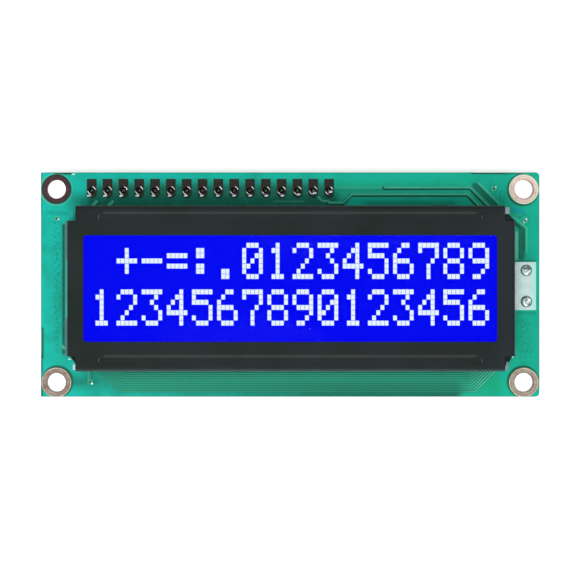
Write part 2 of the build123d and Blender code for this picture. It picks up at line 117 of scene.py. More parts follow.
class BoardSettings(bpy.types.PropertyGroup):
    """Circuit board, its copper and its plated holes"""

    copper_mask: colour_property("Mask at the left", "Solder mask on copper at the board's left end", 4, 190, 172)
    copper_mask_right: colour_property("Mask at the right", "Solder mask on copper at the board's right end", 4, 184, 152)
    copper_shade: colour_property("Mask shade", "Darker patches of the mask", 6, 164, 138)
    green_mask: colour_property("Mask, greener", "Greener patches at the right of the board", 4, 170, 120)
    blue_mask: colour_property("Mask, bluer", "Bluer patch below the upper right ring", 10, 158, 182)
    # Painted highlight on the front's ridges; on the back, the pale tone of the traces
    pale_mask_and_highlight: colour_property("Mask on ridges", "Solder mask on the edges of the broad copper", 96, 206, 170)
    laminate_mask: colour_property("Mask on laminate", "Solder mask where no copper lies under it", 6, 96, 74)
    trace_mask: colour_property("Mask on traces", "Solder mask on the narrow traces", 66, 190, 156)
    bus_line: colour_property("Mask on the bus", "Solder mask on the lines of the bus", 42, 172, 136)
    fan_line: colour_property("Mask on the bus end", "Solder mask on the bus where it fans out", 84, 220, 180)
    bus_mask: colour_property("Mask beside the bus", "Solder mask between the lines of the bus", 8, 112, 88)
    shaded_mask: colour_property("Shaded mask", "Solder mask in the shaded strip below the bezel", 4, 96, 74)
    fibre: colour_property("Board edge", "Cut glass fibre at the board's edges", 160, 172, 116)
    fibre_dark: colour_property("Board edge resin", "Resin between the fibres", 120, 138, 84)
    # The mounting rings are one tinned copper: the upper right ring and its lip are painted lighter and the lower right
    # ring greyer, as painted reflections
    ring: colour_property("Ring", "Tinned copper of the lower mounting rings", 156, 142, 130)
    ring_grey_reflection: colour_property("Ring, grey", "Tinned copper of the lower right mounting ring", 168, 158, 142)
    ring_light_reflection: colour_property("Ring, light", "Tinned copper of the upper right mounting ring", 226, 216, 200)
    ring_blush: colour_property("Ring blush", "Pinker stains on the upper right mounting ring", 204, 158, 146)
    ring_stain: colour_property("Ring stain", "Stains on the mounting rings", 112, 84, 74)
    ring_mouth_shade: colour_property("Ring bore", "Brown shade at the mouth of the mounting holes", 70, 50, 40)
    ring_lip: colour_property("Ring lip", "Pale raised rim of the mounting rings", 206, 200, 178)
    ring_lip_light_reflection: colour_property("Ring lip, light", "Pale rim of the upper right mounting ring", 218, 236, 214)
    # Painted reflection: the upper left ring is tin painted dark, as it mirrors dark surroundings
    ring_dark_reflection: colour_property("Blackish ring", "Darkened ring at the upper left", 40, 32, 34)
    ring_dark_reflection_stain: colour_property("Blackish ring stain", "Redder stains on the darkened ring", 92, 52, 58)
    ring_dark_reflection_edge: colour_property("Blackish ring edge", "Outer edge of the darkened ring", 26, 52, 48)
    # Painted reflection: the header lands are tin, painted dark as they mirror dark surroundings
    pad: colour_property("Header land", "Darkened lands of the header holes", 28, 34, 28)
    pad_stain: colour_property("Header land stain", "Redder stains on the header lands", 52, 36, 32)
    flux: colour_property("Flux", "Greenish flux below the header holes", 14, 62, 48)
    # Painted shade: the dark collars inside the header holes
    hole_shade: colour_property("Dry flux", "Dark flux dried inside the header holes", 30, 24, 24)
    tin: colour_property("Header solder", "Bright solder round the header holes", 232, 240, 234)
    # Painted shade: the dark quarters of the header rims
    tin_shade: colour_property("Header solder, dull", "Shadowed flanks of that solder", 40, 34, 34)
    gold: colour_property("Contact gold", "Plated lands under the elastomer connectors", 214, 176, 96)


class BezelSettings(bpy.types.PropertyGroup):
    """Folded steel bezel"""

    width: length_property("Width", "Width of the bezel over its long walls", 26.2)
    notch: length_property("Notch length", "Length of a corner notch along the board", 1.6)
    notch_width: length_property("Notch width", "Width of a corner notch across the board", 2.4)
    rib_height: length_property("Rib height", "Height of the pressed ribs above the face", 0.15)
    paint: colour_property("Paint", "Black paint of the bezel", 20, 31, 28)
    paint_light: colour_property("Paint, light", "Lighter patches of the paint", 30, 37, 38)
    paint_blue: colour_property("Paint, bluer", "Bluer paint towards the right end", 36, 40, 48)
    # Painted highlights on the bezel: the greyer rib crests, and on the bends and ribs the two colours below
    crest: colour_property("Rib crest", "Greyer paint on the crests of the ribs", 138, 130, 126)
    bend_green_reflection: colour_property("Highlit edge, green", "Middle of the left bend, which mirrors the mask", 62, 164, 148)
    bezel_highlight: colour_property("Highlit edge", "Paint rubbed thin at the bends", 84, 110, 112)
    steel: colour_property("Cut steel", "Bare steel where the sheet was cut", 176, 196, 204)


class DisplaySettings(bpy.types.PropertyGroup):
    """Liquid crystal cell"""

    field: colour_property("Field", "Blue of the unlit field", 2, 3, 243)
    dot: colour_property("Dot", "Pale colour of a lit dot", 230, 244, 255)
    brightness: share_property("Brightness", "Strength of the glow of the field", 1.18)
    dot_brightness: share_property("Dot brightness", "Strength of the glow of a lit dot", 1.2)
    film: colour_property("Film", "Tint of the polarizing film", 2, 3, 40)
    glass: colour_property("Glass edge", "Tint of the glass", 10, 40, 34)
    seal: colour_property("Seal", "Resin round the cell", 206, 200, 176)


class BacklightSettings(bpy.types.PropertyGroup):
    """Backlight, its board and its leads"""

    board: colour_property("Lead board", "White board that carries the light sources", 222, 250, 246)
    board_shade: colour_property("Lead board shade", "Greyer patches of that board", 204, 234, 230)
    board_edge: colour_property("Lead board edge", "Greener tone along that board's right edge", 160, 250, 236)
    # Painted shade along the lead board's lower edge
    board_foot_shade: colour_property("Lead board foot", "Warmer grey along that board's lower edge", 206, 206, 198)
    frame: colour_property("Reflector", "White moulded reflector frame", 232, 234, 230)
    diffuser: colour_property("Diffuser", "Milky diffuser plate", 226, 232, 240)
    solder: colour_property("Solder", "Bright solder", 206, 228, 222)
    # Dark streaks on the lead solder, partly flux and partly painted reflections, and its painted shade at the foot
    solder_dark: colour_property("Solder, dark", "Dark streaks and flux on the solder", 34, 66, 62)


class BackSettings(bpy.types.PropertyGroup):
    """Parts on the board's back"""

    resin: colour_property("Covering resin", "Black resin over the chips", 16, 16, 18)
    resistor: colour_property("Resistor", "Black top of a chip resistor", 26, 26, 30)
    capacitor: colour_property("Capacitor", "Tan body of a chip capacitor", 176, 142, 104)
    elastomer: colour_property("Elastomer", "Rubber of the connector strips", 196, 120, 130)
    silicon: colour_property("Silicon", "Bare chip", 92, 96, 110)


# Material building


def material_base(name):
    material = bpy.data.materials.new(name)
    material.use_nodes = True
    tree = material.node_tree
    tree.nodes.clear()
    shader = tree.nodes.new("ShaderNodeBsdfPrincipled")
    output = tree.nodes.new("ShaderNodeOutputMaterial")
    tree.links.new(shader.outputs["BSDF"], output.inputs["Surface"])
    return material, tree, shader


def place(tree):
    return tree.nodes.new("ShaderNodeTexCoord").outputs["Object"]


def noise(tree, grain, detail=4.0, stretch=(1, 1, 1)):
    """Noise whose patches are about one grain wide, in metres, longer along an axis with a small stretch."""
    mapping = tree.nodes.new("ShaderNodeMapping")
    mapping.inputs["Scale"].default_value = Vector(stretch) / grain
    texture = tree.nodes.new("ShaderNodeTexNoise")
    texture.inputs["Scale"].default_value = 1.0
    texture.inputs["Detail"].default_value = detail
    tree.links.new(place(tree), mapping.inputs["Vector"])
    tree.links.new(mapping.outputs["Vector"], texture.inputs["Vector"])
    return texture.outputs["Fac"]


def cells(tree, grain, stretch=(1, 1, 1)):
    mapping = tree.nodes.new("ShaderNodeMapping")
    mapping.inputs["Scale"].default_value = Vector(stretch) / grain
    texture = tree.nodes.new("ShaderNodeTexVoronoi")
    texture.voronoi_dimensions = "2D"
    texture.inputs["Scale"].default_value = 1.0
    tree.links.new(place(tree), mapping.inputs["Vector"])
    tree.links.new(mapping.outputs["Vector"], texture.inputs["Vector"])
    return texture.outputs["Distance"]


def between(tree, value, low, high, to_low=0.0, to_high=1.0):
    """Takes a value's range from low to high to the range to_low to to_high."""
    node = tree.nodes.new("ShaderNodeMapRange")
    node.inputs["From Min"].default_value = low
    node.inputs["From Max"].default_value = high
    node.inputs["To Min"].default_value = to_low
    node.inputs["To Max"].default_value = to_high
    tree.links.new(value, node.inputs["Value"])
    return node.outputs["Result"]


def combine(tree, operation, first, second):
    node = tree.nodes.new("ShaderNodeMath")
    node.operation = operation
    for socket, value in zip(node.inputs, (first, second)):
        if isinstance(value, (int, float)):
            socket.default_value = value
        else:
            tree.links.new(value, socket)
    return node.outputs["Value"]


def two_tone(tree, share, first, second):
    """First colour where share is 0, second where it is 1. Each is a colour or another node's output."""
    node = tree.nodes.new("ShaderNodeMix")
    node.data_type = "RGBA"
    tree.links.new(share, node.inputs[0])
    for socket, value in ((node.inputs[6], first), (node.inputs[7], second)):
        if isinstance(value, bpy.types.NodeSocket):
            tree.links.new(value, socket)
        else:
            socket.default_value = (*value[:3], 1.0)
    return node.outputs[2]


def add_bump(tree, shader, height, depth, strength=1.0):
    node = tree.nodes.new("ShaderNodeBump")
    node.inputs["Strength"].default_value = strength
    node.inputs["Distance"].default_value = depth
    tree.links.new(height, node.inputs["Height"])
    tree.links.new(node.outputs["Normal"], shader.inputs["Normal"])


def facing(tree):
    """How far a face looks up or down: 1 for a level face, 0 for an upright one."""
    geometry = tree.nodes.new("ShaderNodeNewGeometry")
    split = tree.nodes.new("ShaderNodeSeparateXYZ")
    tree.links.new(geometry.outputs["Normal"], split.inputs["Vector"])
    return combine(tree, "ABSOLUTE", split.outputs["Z"], 0.0)


def slope(tree, axis):
    """How far a face leans along an axis, from -1 to 1."""
    geometry = tree.nodes.new("ShaderNodeNewGeometry")
    split = tree.nodes.new("ShaderNodeSeparateXYZ")
    tree.links.new(geometry.outputs["Normal"], split.inputs["Vector"])
    return split.outputs[axis]


def along(tree, axis):
    split = tree.nodes.new("ShaderNodeSeparateXYZ")
    tree.links.new(place(tree), split.inputs["Vector"])
    return split.outputs[axis]


def vector(tree, operation, first, second):
    """Vector sum of nodes. Either input is a socket, a vector or, for a scale, a socket that scales the first."""
    node = tree.nodes.new("ShaderNodeVectorMath")
    node.operation = operation
    tree.links.new(first, node.inputs[0]) if isinstance(first, bpy.types.NodeSocket) else setattr(
        node.inputs[0], "default_value", first
    )
    if operation == "SCALE":
        tree.links.new(second, node.inputs["Scale"])
    elif isinstance(second, bpy.types.NodeSocket):
        tree.links.new(second, node.inputs[1])
    elif second is not None:
        node.inputs[1].default_value = second
    return node.outputs["Value" if operation in ("DOT_PRODUCT", "LENGTH") else "Vector"]


def near_line(tree, spot, start, end, half_width, softness):
    """1 near a line on the board and 0 away from it. The places and widths are in millimetres."""
    start = Vector((*start, 0)) * MM
    run = Vector((*end, 0)) * MM - start
    offset = vector(tree, "SUBTRACT", spot, start)
    if run.length:
        share = between(tree, vector(tree, "DOT_PRODUCT", offset, run / run.length_squared), 0, 1)
        offset = vector(tree, "SUBTRACT", offset, vector(tree, "SCALE", run, share))
    distance = vector(tree, "LENGTH", offset, None)
    return between(tree, distance, (half_width + softness) * MM, (half_width - softness) * MM)


def any_of(tree, shares):
    total = shares[0]
    for share in shares[1:]:
        total = combine(tree, "MAXIMUM", total, share)
    return total


def mottled(name, first, second, grain, roughness, depth, metallic=0.0, shine=0.5, stretch=(1, 1, 1), contrast=0.25):
    """A finish in two close tones, rougher where it is darker, with a fine uneven skin."""
    material, tree, shader = material_base(name)
    patches = between(tree, noise(tree, grain, 5.0, stretch), 0.5 - contrast, 0.5 + contrast)
    tree.links.new(two_tone(tree, patches, first, second), shader.inputs["Base Color"])
    skin = noise(tree, grain * 0.35, 3.0, stretch)
    low, high = roughness
    tree.links.new(between(tree, skin, 0.3, 0.7, low, high), shader.inputs["Roughness"])
    add_bump(tree, shader, skin, depth)
    shader.inputs["Metallic"].default_value = metallic
    shader.inputs["Specular IOR Level"].default_value = shine
    return material


# Object handling


def clear_selection():
    bpy.ops.object.select_all(action="DESELECT")


def dress(node, material):
    """Gives a packed node its material."""
    part = frame["nodes"][node]
    part.data.materials.clear()
    part.data.materials.append(material)
    for polygon in part.data.polygons:
        polygon.material_index = 0


def plain_copy(node, name):
    """A merged copy of a packed node."""
    clear_selection()
    source = frame["nodes"][node]
    source.select_set(True)
    bpy.context.view_layer.objects.active = source
    bpy.ops.object.duplicate()
    piece = bpy.context.view_layer.objects.active
    piece.name = name
    for key in list(piece.keys()):
        del piece[key]
    bpy.ops.object.parent_clear(type="CLEAR_KEEP_TRANSFORM")
    bpy.ops.object.mode_set(mode="EDIT")
    bpy.ops.mesh.select_all(action="SELECT")
    bpy.ops.mesh.customdata_custom_splitnormals_clear()
    bpy.ops.mesh.remove_doubles(threshold=1e-6)
    bpy.ops.mesh.tris_convert_to_quads()
    bpy.ops.object.mode_set(mode="OBJECT")
    return piece


def pick_vertices(piece, wanted):
    """Leaves the piece in edit mode with the wanted vertices selected."""
    bpy.ops.object.mode_set(mode="EDIT")
    bpy.ops.mesh.select_mode(type="VERT")
    bpy.ops.mesh.select_all(action="DESELECT")
    bpy.ops.object.mode_set(mode="OBJECT")
    for vertex in piece.data.vertices:
        vertex.select = wanted(vertex.co)
    bpy.ops.object.mode_set(mode="EDIT")


def delete_vertices(piece, wanted):
    pick_vertices(piece, wanted)
    bpy.ops.mesh.delete(type="VERT")
    bpy.ops.object.mode_set(mode="OBJECT")


def cut_below(height):
    """Cuts the piece in edit mode level at a height, and closes it."""
    bpy.ops.mesh.select_all(action="SELECT")
    bpy.ops.mesh.bisect(
        plane_co=(0, 0, height), plane_no=(0, 0, 1), clear_inner=True, use_fill=True, threshold=1e-7
    )


def apply_place(piece):
    clear_selection()
    piece.select_set(True)
    bpy.context.view_layer.objects.active = piece
    bpy.ops.object.transform_apply(location=True, rotation=True, scale=True)


def finish_piece(piece, material, angle=35.0):
    """Puts the piece's place in its mesh, smooths it and hangs it on the module."""
    apply_place(piece)
    bpy.ops.object.shade_smooth_by_angle(angle=math.radians(angle))
    piece.data.materials.clear()
    piece.data.materials.append(material)
    for polygon in piece.data.polygons:
        polygon.material_index = 0
    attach(piece, "root")


def join(pieces, name):
    clear_selection()
    for piece in pieces:
        piece.select_set(True)
    bpy.context.view_layer.objects.active = pieces[0]
    bpy.ops.object.join()
    pieces[0].name = name
    return pieces[0]


def copy_of(piece, shift):
    """A copy with its own mesh, moved by a vector."""
    clear_selection()
    piece.select_set(True)
    bpy.context.view_layer.objects.active = piece
    bpy.ops.object.duplicate(linked=False)
    copy = bpy.context.active_object
    bpy.ops.transform.translate(value=shift)
    apply_place(copy)
    return copy


def smooth_copy(node, name, material, angle=35.0, edge=0.0):
    """A merged copy that stands for a packed node, with smooth bends and, where edge is given, eased edges."""
    piece = plain_copy(node, name)
    if edge:
        bevel = piece.modifiers.new("Eased edges", "BEVEL")
        bevel.width = edge
        bevel.segments = 2
        bevel.limit_method = "ANGLE"
        bevel.angle_limit = math.radians(50)
        bpy.ops.object.modifier_apply(modifier=bevel.name)
    finish_piece(piece, material, angle)
    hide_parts(node)
    return piece


# Board


# Places on the board in millimetres: line start, line end, half width, softness, strength
# Darker mask: bare laminate under the mask at gaps in the copper, and painted shade where marked
LAMINATE_AND_SHADE = (
    # Painted shadow of the bezel over the band between the header and the bezel
    ((-29.5, 13.0), (4.6, 13.0), 3.35, 0.85, 0.88),
    # Bare laminate beside the bezel's left and right walls, with painted shade at the walls' foot
    ((-36.35, 9.5), (-36.35, -11.0), 0.22, 0.12, 1.0),
    ((35.85, 9.5), (35.85, -11.0), 0.16, 0.12, 1.0),
    ((-38.8, 11.5), (-35.8, 11.4), 0.15, 0.4, 0.5),
    ((29.6, 15.9), (32.9, 12.6), 0.42, 0.15, 0.8),
    ((29.9, 16.1), (33.2, 12.8), 0.14, 0.1, 1.0),
    ((34.2, 11.5), (37.2, 8.9), 0.28, 0.15, 1.0),
    ((37.15, 8.9), (37.15, 4.4), 0.5, 0.12, 0.85),
    ((37.5, 8.9), (37.5, 5.3), 0.22, 0.1, 1.0),
    # Painted shadow of the bezel over the right end of the header band
    ((12.5, 13.0), (26.0, 13.0), 0.3, 0.4, 0.6),
    ((7.0, 15.15), (14.8, 15.15), 0.1, 0.25, 0.45),
    ((22.3, -17.95), (26.5, -17.95), 0.2, 0.1, 1.0),
    ((14.0, -17.95), (16.6, -17.95), 0.14, 0.1, 0.8),
    ((-31.72, -13.9), (-31.72, -15.4), 0.1, 0.12, 0.9),
    # Dark break-off marks at the board's upper and left edges, with painted shade of their bevels
    ((-37.7, 17.95), (-35.3, 17.95), 0.3, 0.12, 1.0),
    ((29.2, 17.95), (34.4, 17.95), 0.22, 0.1, 1.0),
    ((-39.95, -7.2), (-39.95, -11.6), 0.38, 0.15, 1.0),
    ((-39.95, -12.2), (-39.95, -14.0), 0.26, 0.15, 0.8),
    ((-39.95, -16.4), (-39.95, -17.9), 0.26, 0.15, 1.0),
    ((-39.95, 17.9), (-39.95, 11.5), 0.14, 0.12, 0.6),
    ((-34.5, 13.3), (-33.4, 13.3), 1.1, 1.1, 0.5),
    # Painted shadow below the lead board
    ((36.5, -4.55), (39.2, -4.55), 0.2, 0.25, 0.4),
    ((-34.9, -15.6), (-31.4, -15.6), 1.0, 0.8, 0.65),
    ((-31.0, -15.6), (-27.0, -15.6), 1.0, 0.8, 0.4),
)
# Painted highlights: pale lines on the raised edges of copper and on traces under the mask
RIDGE_HIGHLIGHTS = (
    ((30.3, 16.3), (33.6, 13.0), 0.1, 0.1, 0.8),
    ((35.0, 11.7), (37.9, 9.1), 0.1, 0.1, 0.8),
    ((37.95, 9.0), (37.95, 5.2), 0.1, 0.12, 0.6),
    ((36.32, 8.3), (36.32, 4.2), 0.24, 0.12, 1.0),
    ((4.5, 14.1), (5.2, 13.4), 0.1, 0.12, 1.0),
    ((5.2, 13.4), (6.2, 13.4), 0.1, 0.12, 1.0),
    ((-2.6, 13.35), (2.2, 13.35), 0.06, 0.12, 0.5),
    ((-35.0, 11.7), (-35.1, 10.3), 0.08, 0.14, 0.7),
    ((-36.5, -9.9), (-36.3, -10.2), 0.16, 0.14, 0.8),
    ((-32.25, -14.0), (-32.25, -15.6), 0.2, 0.12, 0.4),
    ((7.0, 15.6), (14.8, 15.6), 0.08, 0.2, 0.3),
)
GREENER = (
    ((29.5, -15.6), (32.5, -16.2), 1.3, 1.2, 0.9),
    ((8.0, 15.6), (27.0, 15.6), 0.8, 0.9, 0.5),
)
BLUER = (((35.9, 12.0), (37.3, 11.7), 0.25, 0.35, 0.9),)
# Radius of the dark line about a mounting ring in millimetres, and how far it is off the ring's centre: bare laminate,
# with a painted shadow crescent on one side
RING_HALO = 2.6
HALO_SHADOW_SHIFTS = {"upper_right": (-0.14, -0.12), "lower_right": (-0.14, 0.06), "lower_left": (0.14, 0.06)}
SPECKLED = (
    ((-37.4, 10.0), (-37.4, -10.5), 0.5, 0.25, 1.0),
    ((37.8, -6.5), (37.8, -12.2), 0.9, 0.4, 0.75),
    ((32.6, 15.6), (33.7, 13.8), 0.9, 0.3, 1.0),
    ((37.3, 10.6), (37.3, 10.6), 1.1, 0.3, 1.0),
)
# Painted shade below the bezel: a strip that grows darker towards its right end, a band beside the bezel and a dark
# line under its lower bend
SHADED_STRIP = ((-34.0, -17.2), (26.0, -17.2), 1.6, 0.8)
SHADE_BESIDE_BEZEL = ((-32.0, -13.9), (31.0, -13.9), 1.1, 0.9)
SHADOW_UNDER_BEND = ((-27.0, -14.15), (27.5, -14.15), 0.14, 0.12)


def painted(tree, spot, areas):
    """How far the areas cover a spot. Each area is a line with its half width, softness and strength."""
    shares = [combine(tree, "MULTIPLY", near_line(tree, spot, *area[:4]), area[4]) for area in areas]
    return any_of(tree, shares)


def lower_shade(tree, spot):
    """How far the strip below the bezel is made darker as painted shade: most beside the bezel and towards its right
    end.
    """
    ramp = between(tree, along(tree, "X"), SHADED_STRIP[0][0] * MM, 8 * MM, 0.0, 0.85)
    strip = combine(tree, "MULTIPLY", near_line(tree, spot, *SHADED_STRIP), ramp)
    beside = combine(tree, "MULTIPLY", near_line(tree, spot, *SHADE_BESIDE_BEZEL), 0.6)
    return any_of(tree, [strip, beside, near_line(tree, spot, *SHADOW_UNDER_BEND)])


FAN_START = 28.4


def line_finish(settings, name, colour, bus_colour, fan_colour):
    """Mask on narrow copper. The bus below the bezel has its own colour and painted shade, and stands out at its right
    end.
    """
    material, tree, shader = material_base(name)
    spot = vector(tree, "MULTIPLY", place(tree), (1, 1, 0))
    patches = between(tree, noise(tree, 1.2 * MM, 4.0), 0.35, 0.75, 0.0, 0.5)
    on_bus = between(tree, along(tree, "Y"), 0.1 * MM, -0.1 * MM)
    base = two_tone(tree, patches, two_tone(tree, on_bus, colour, bus_colour), settings.copper_shade)
    in_fan = between(tree, along(tree, "X"), FAN_START * MM, (FAN_START + 2.6) * MM, 0.0, 0.85)
    base = two_tone(tree, combine(tree, "MULTIPLY", in_fan, on_bus), base, fan_colour)
    shade = combine(tree, "MULTIPLY", lower_shade(tree, spot), 0.65)
    tree.links.new(two_tone(tree, shade, base, settings.shaded_mask), shader.inputs["Base Color"])
    skin = noise(tree, 0.4 * MM, 3.0)
    tree.links.new(between(tree, skin, 0.3, 0.7, 0.28, 0.45), shader.inputs["Roughness"])
    add_bump(tree, shader, skin, 0.012 * MM)
    shader.inputs["Specular IOR Level"].default_value = 0.15
    return material


def ring_centre(corner, shift=(0, 0)):
    """Centre of a mounting ring in millimetres, moved by a shift."""
    low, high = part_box(f"mounting_ring_{corner}")
    return (low.x + high.x) / 2 / MM + shift[0], (low.y + high.y) / 2 / MM + shift[1]


def mask_colour(tree, settings):
    """Mask on copper: bluer at the left, greener at the right, with painted shadow halos. The front has specks, bare
    stretches, painted shade and painted ridge highlights too.
    """
    spot = vector(tree, "MULTIPLY", place(tree), (1, 1, 0))
    low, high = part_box("circuit_board")
    middle = (low.z + high.z) / 2
    front = between(tree, along(tree, "Z"), middle, middle + 0.1 * MM)
    share = between(tree, along(tree, "X"), -0.03, 0.03)
    hue = two_tone(tree, share, settings.copper_mask, settings.copper_mask_right)
    patches = between(tree, noise(tree, 3.2 * MM, 4.0), 0.42, 0.78)
    colour = two_tone(tree, patches, hue, settings.copper_shade)
    colour = two_tone(tree, combine(tree, "MULTIPLY", lower_shade(tree, spot), front), colour, settings.shaded_mask)
    greener = combine(tree, "MULTIPLY", painted(tree, spot, GREENER), front)
    colour = two_tone(tree, greener, colour, settings.green_mask)
    bluer = combine(tree, "MULTIPLY", painted(tree, spot, BLUER), front)
    colour = two_tone(tree, bluer, colour, settings.blue_mask)
    specks = between(tree, cells(tree, 0.45 * MM), 0.34, 0.16, 0.0, 0.6)
    speckled = combine(tree, "MULTIPLY", specks, painted(tree, spot, SPECKLED))
    colour = two_tone(tree, combine(tree, "MULTIPLY", speckled, front), colour, settings.laminate_mask)
    # Dark halos round the rings: bare laminate, shifted to leave a painted shadow on one side
    clearance_and_shadow_halos = []
    for corner, shift in HALO_SHADOW_SHIFTS.items():
        centre = ring_centre(corner, shift)
        clearance_and_shadow_halos.append(near_line(tree, spot, centre, centre, RING_HALO, 0.12))
    grain = between(tree, noise(tree, 0.9 * MM, 4.0), 0.2, 0.5, 0.75, 1.0)
    bare = combine(tree, "MULTIPLY", painted(tree, spot, LAMINATE_AND_SHADE), front)
    bare = combine(tree, "MULTIPLY", combine(tree, "MAXIMUM", bare, any_of(tree, clearance_and_shadow_halos)), grain)
    colour = two_tone(tree, bare, colour, settings.laminate_mask)
    # Painted highlights: a pale ring round the upper left mounting ring, and the ridge lines
    highlight_halo = ring_centre("upper_left", (-0.06, -0.02))
    ridges = combine(tree, "MULTIPLY", near_line(tree, spot, highlight_halo, highlight_halo, RING_HALO, 0.15), 0.5)
    ridges = combine(tree, "MULTIPLY", combine(tree, "MAXIMUM", ridges, painted(tree, spot, RIDGE_HIGHLIGHTS)), front)
    return two_tone(tree, ridges, colour, settings.pale_mask_and_highlight)


def board_finish(settings):
    """Green solder mask on the faces, with painted shade along the board's outline, and bare glass fibre in layers at
    the cut edges.
    """
    material, tree, shader = material_base("green_solder_mask")
    weave = noise(tree, 0.9 * MM, 4.0, (1, 1, 0.2))
    mask = mask_colour(tree, settings)
    low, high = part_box("circuit_board")
    # Painted shade: the mask goes half way to the laminate colour near the board's outline, where it rounds over the
    # edge
    rim = any_of(
        tree,
        [
            between(tree, combine(tree, "ABSOLUTE", along(tree, "X"), 0), high.x - 0.16 * MM, high.x - 0.06 * MM),
            between(tree, combine(tree, "ABSOLUTE", along(tree, "Y"), 0), high.y - 0.16 * MM, high.y - 0.06 * MM),
        ],
    )
    mask = two_tone(tree, combine(tree, "MULTIPLY", rim, 0.5), mask, settings.laminate_mask)
    layers = between(tree, noise(tree, 0.5 * MM, 2.0, (0.15, 0.15, 6)), 0.4, 0.6)
    cut = two_tone(tree, layers, settings.fibre, settings.fibre_dark)
    broken = two_tone(tree, between(tree, facing(tree), 0.1, 0.3), cut, settings.laminate_mask)
    level = between(tree, facing(tree), 0.6, 0.8)
    tree.links.new(two_tone(tree, level, broken, mask), shader.inputs["Base Color"])
    tree.links.new(between(tree, weave, 0.3, 0.7, 0.3, 0.45), shader.inputs["Roughness"])
    add_bump(tree, shader, weave, 0.02 * MM)
    shader.inputs["Specular IOR Level"].default_value = 0.12
    return material


def copper_finish(settings):
    """Mask over the broad copper."""
    material, tree, shader = material_base("masked_copper")
    tree.links.new(mask_colour(tree, settings), shader.inputs["Base Color"])
    skin = noise(tree, 0.6 * MM, 4.0)
    tree.links.new(between(tree, skin, 0.3, 0.7, 0.28, 0.42), shader.inputs["Roughness"])
    add_bump(tree, shader, skin, 0.02 * MM)
    shader.inputs["Specular IOR Level"].default_value = 0.12
    return material


def trench(node, name, material, wanted, reach, height, shift):
    """An outline beside a packed node's traces: a copy grown sideways, pressed to a height and moved a little."""
    piece = plain_copy(node, name)
    delete_vertices(piece, lambda place: not wanted(place))
    bpy.ops.object.mode_set(mode="EDIT")
    bpy.ops.mesh.select_all(action="SELECT")
    bpy.ops.transform.shrink_fatten(value=reach, use_even_offset=True)
    bpy.ops.object.mode_set(mode="OBJECT")
    board_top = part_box("circuit_board")[1].z
    tallest = max(vertex.co.z for vertex in piece.data.vertices)
    flat = height / (tallest - board_top)
    bpy.ops.object.mode_set(mode="EDIT")
    bpy.ops.transform.resize(value=(1, 1, flat), center_override=(0, 0, board_top))
    bpy.ops.transform.translate(value=shift)
    bpy.ops.object.mode_set(mode="OBJECT")
    finish_piece(piece, material)
    return piece


# Bright specks on the board in millimetres: place and size. Their pale tin is a painted highlight, the glints at the
# vias and the board's edges
SPECKS = (
    ((-37.12, 10.5), (0.17, 0.14)),
    ((33.0, 15.62), (0.14, 0.14)),
    ((37.9, 10.5), (0.15, 0.24)),
    ((37.55, 10.0), (0.1, 0.2)),
    ((-31.78, -15.85), (0.17, 0.22)),
    ((-34.78, 17.72), (0.32, 0.12)),
    ((-35.35, -11.95), (0.3, 0.1)),
    ((35.7, -11.6), (0.18, 0.14)),
)


def solder_specks(material):
    """Small bright beads of tin beside the vias and at the board's upper edge, their bright colour a painted highlight.
    """
    board_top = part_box("circuit_board")[1].z
    pieces = []
    for spot, size in SPECKS:
        clear_selection()
        centre = Vector((*spot, 0)) * MM + Vector((0, 0, board_top + 0.04 * MM))
        bpy.ops.mesh.primitive_uv_sphere_add(segments=16, ring_count=10, radius=1, location=centre)
        bead = bpy.context.active_object
        bead.scale = (size[0] * MM, size[1] * MM, 0.07 * MM)
        apply_place(bead)
        bpy.ops.object.mode_set(mode="EDIT")
        cut_below(board_top + 0.005 * MM)
        bpy.ops.object.mode_set(mode="OBJECT")
        pieces.append(bead)
    finish_piece(join(pieces, "solder_specks"), material, 60)


class DISPLAY_OT_board(bpy.types.Operator):
    """Finish the circuit board, its masked copper and its vias"""

    bl_idname = "display.board"
    bl_label = "Circuit board"

    def execute(self, context):
        settings = context.scene.display_board
        dress("circuit_board", board_finish(settings))
        masked = copper_finish(settings)
        dress("front_copper_pour", masked)
        dress(
            "back_traces",
            mottled("masked_back_trace", settings.pale_mask_and_highlight, settings.trace_mask, 1.2 * MM, (0.28, 0.42), 0.012 * MM),
        )
        line = line_finish(settings, "masked_trace", settings.trace_mask, settings.bus_line, settings.fan_line)
        dress("front_traces", line)
        outline = mottled(
            "masked_laminate", settings.laminate_mask, linear(2, 74, 58), 0.8 * MM, (0.35, 0.5), 0.01 * MM, shine=0.1
        )
        between_lines = line_finish(
            settings, "masked_bus_gap", settings.bus_mask, settings.bus_mask, settings.laminate_mask
        )
        trench("front_traces", "bus_outline", between_lines, lambda spot: spot.y < 0, 0.07 * MM, 0.022 * MM, (0, 0, 0))
        # The outline is bare laminate beside the traces; moved down and to the left, it is also a painted shadow on
        # their lower side
        shadow_lean = Vector((-0.08, -0.14, 0)) * MM
        trench("front_traces", "trace_outline_and_shadow", outline, lambda spot: spot.y > 0, 0.24 * MM, 0.022 * MM, shadow_lean)
        trench("front_traces", "trace_shoulder", line, lambda spot: spot.y > 0, 0.08 * MM, 0.03 * MM, (0, 0, 0))
        dress("vias", line)
        specks = mottled("speck_tin_glint", linear(176, 236, 218), settings.tin, 0.2 * MM, (0.2, 0.3), 0.01 * MM, 0.3)
        solder_specks(specks)
        gold = mottled("contact_gold", settings.gold, linear(180, 140, 70), 0.4 * MM, (0.2, 0.35), 0.01 * MM, 1.0)
        dress("connector_contacts", gold)
        return {"FINISHED"}


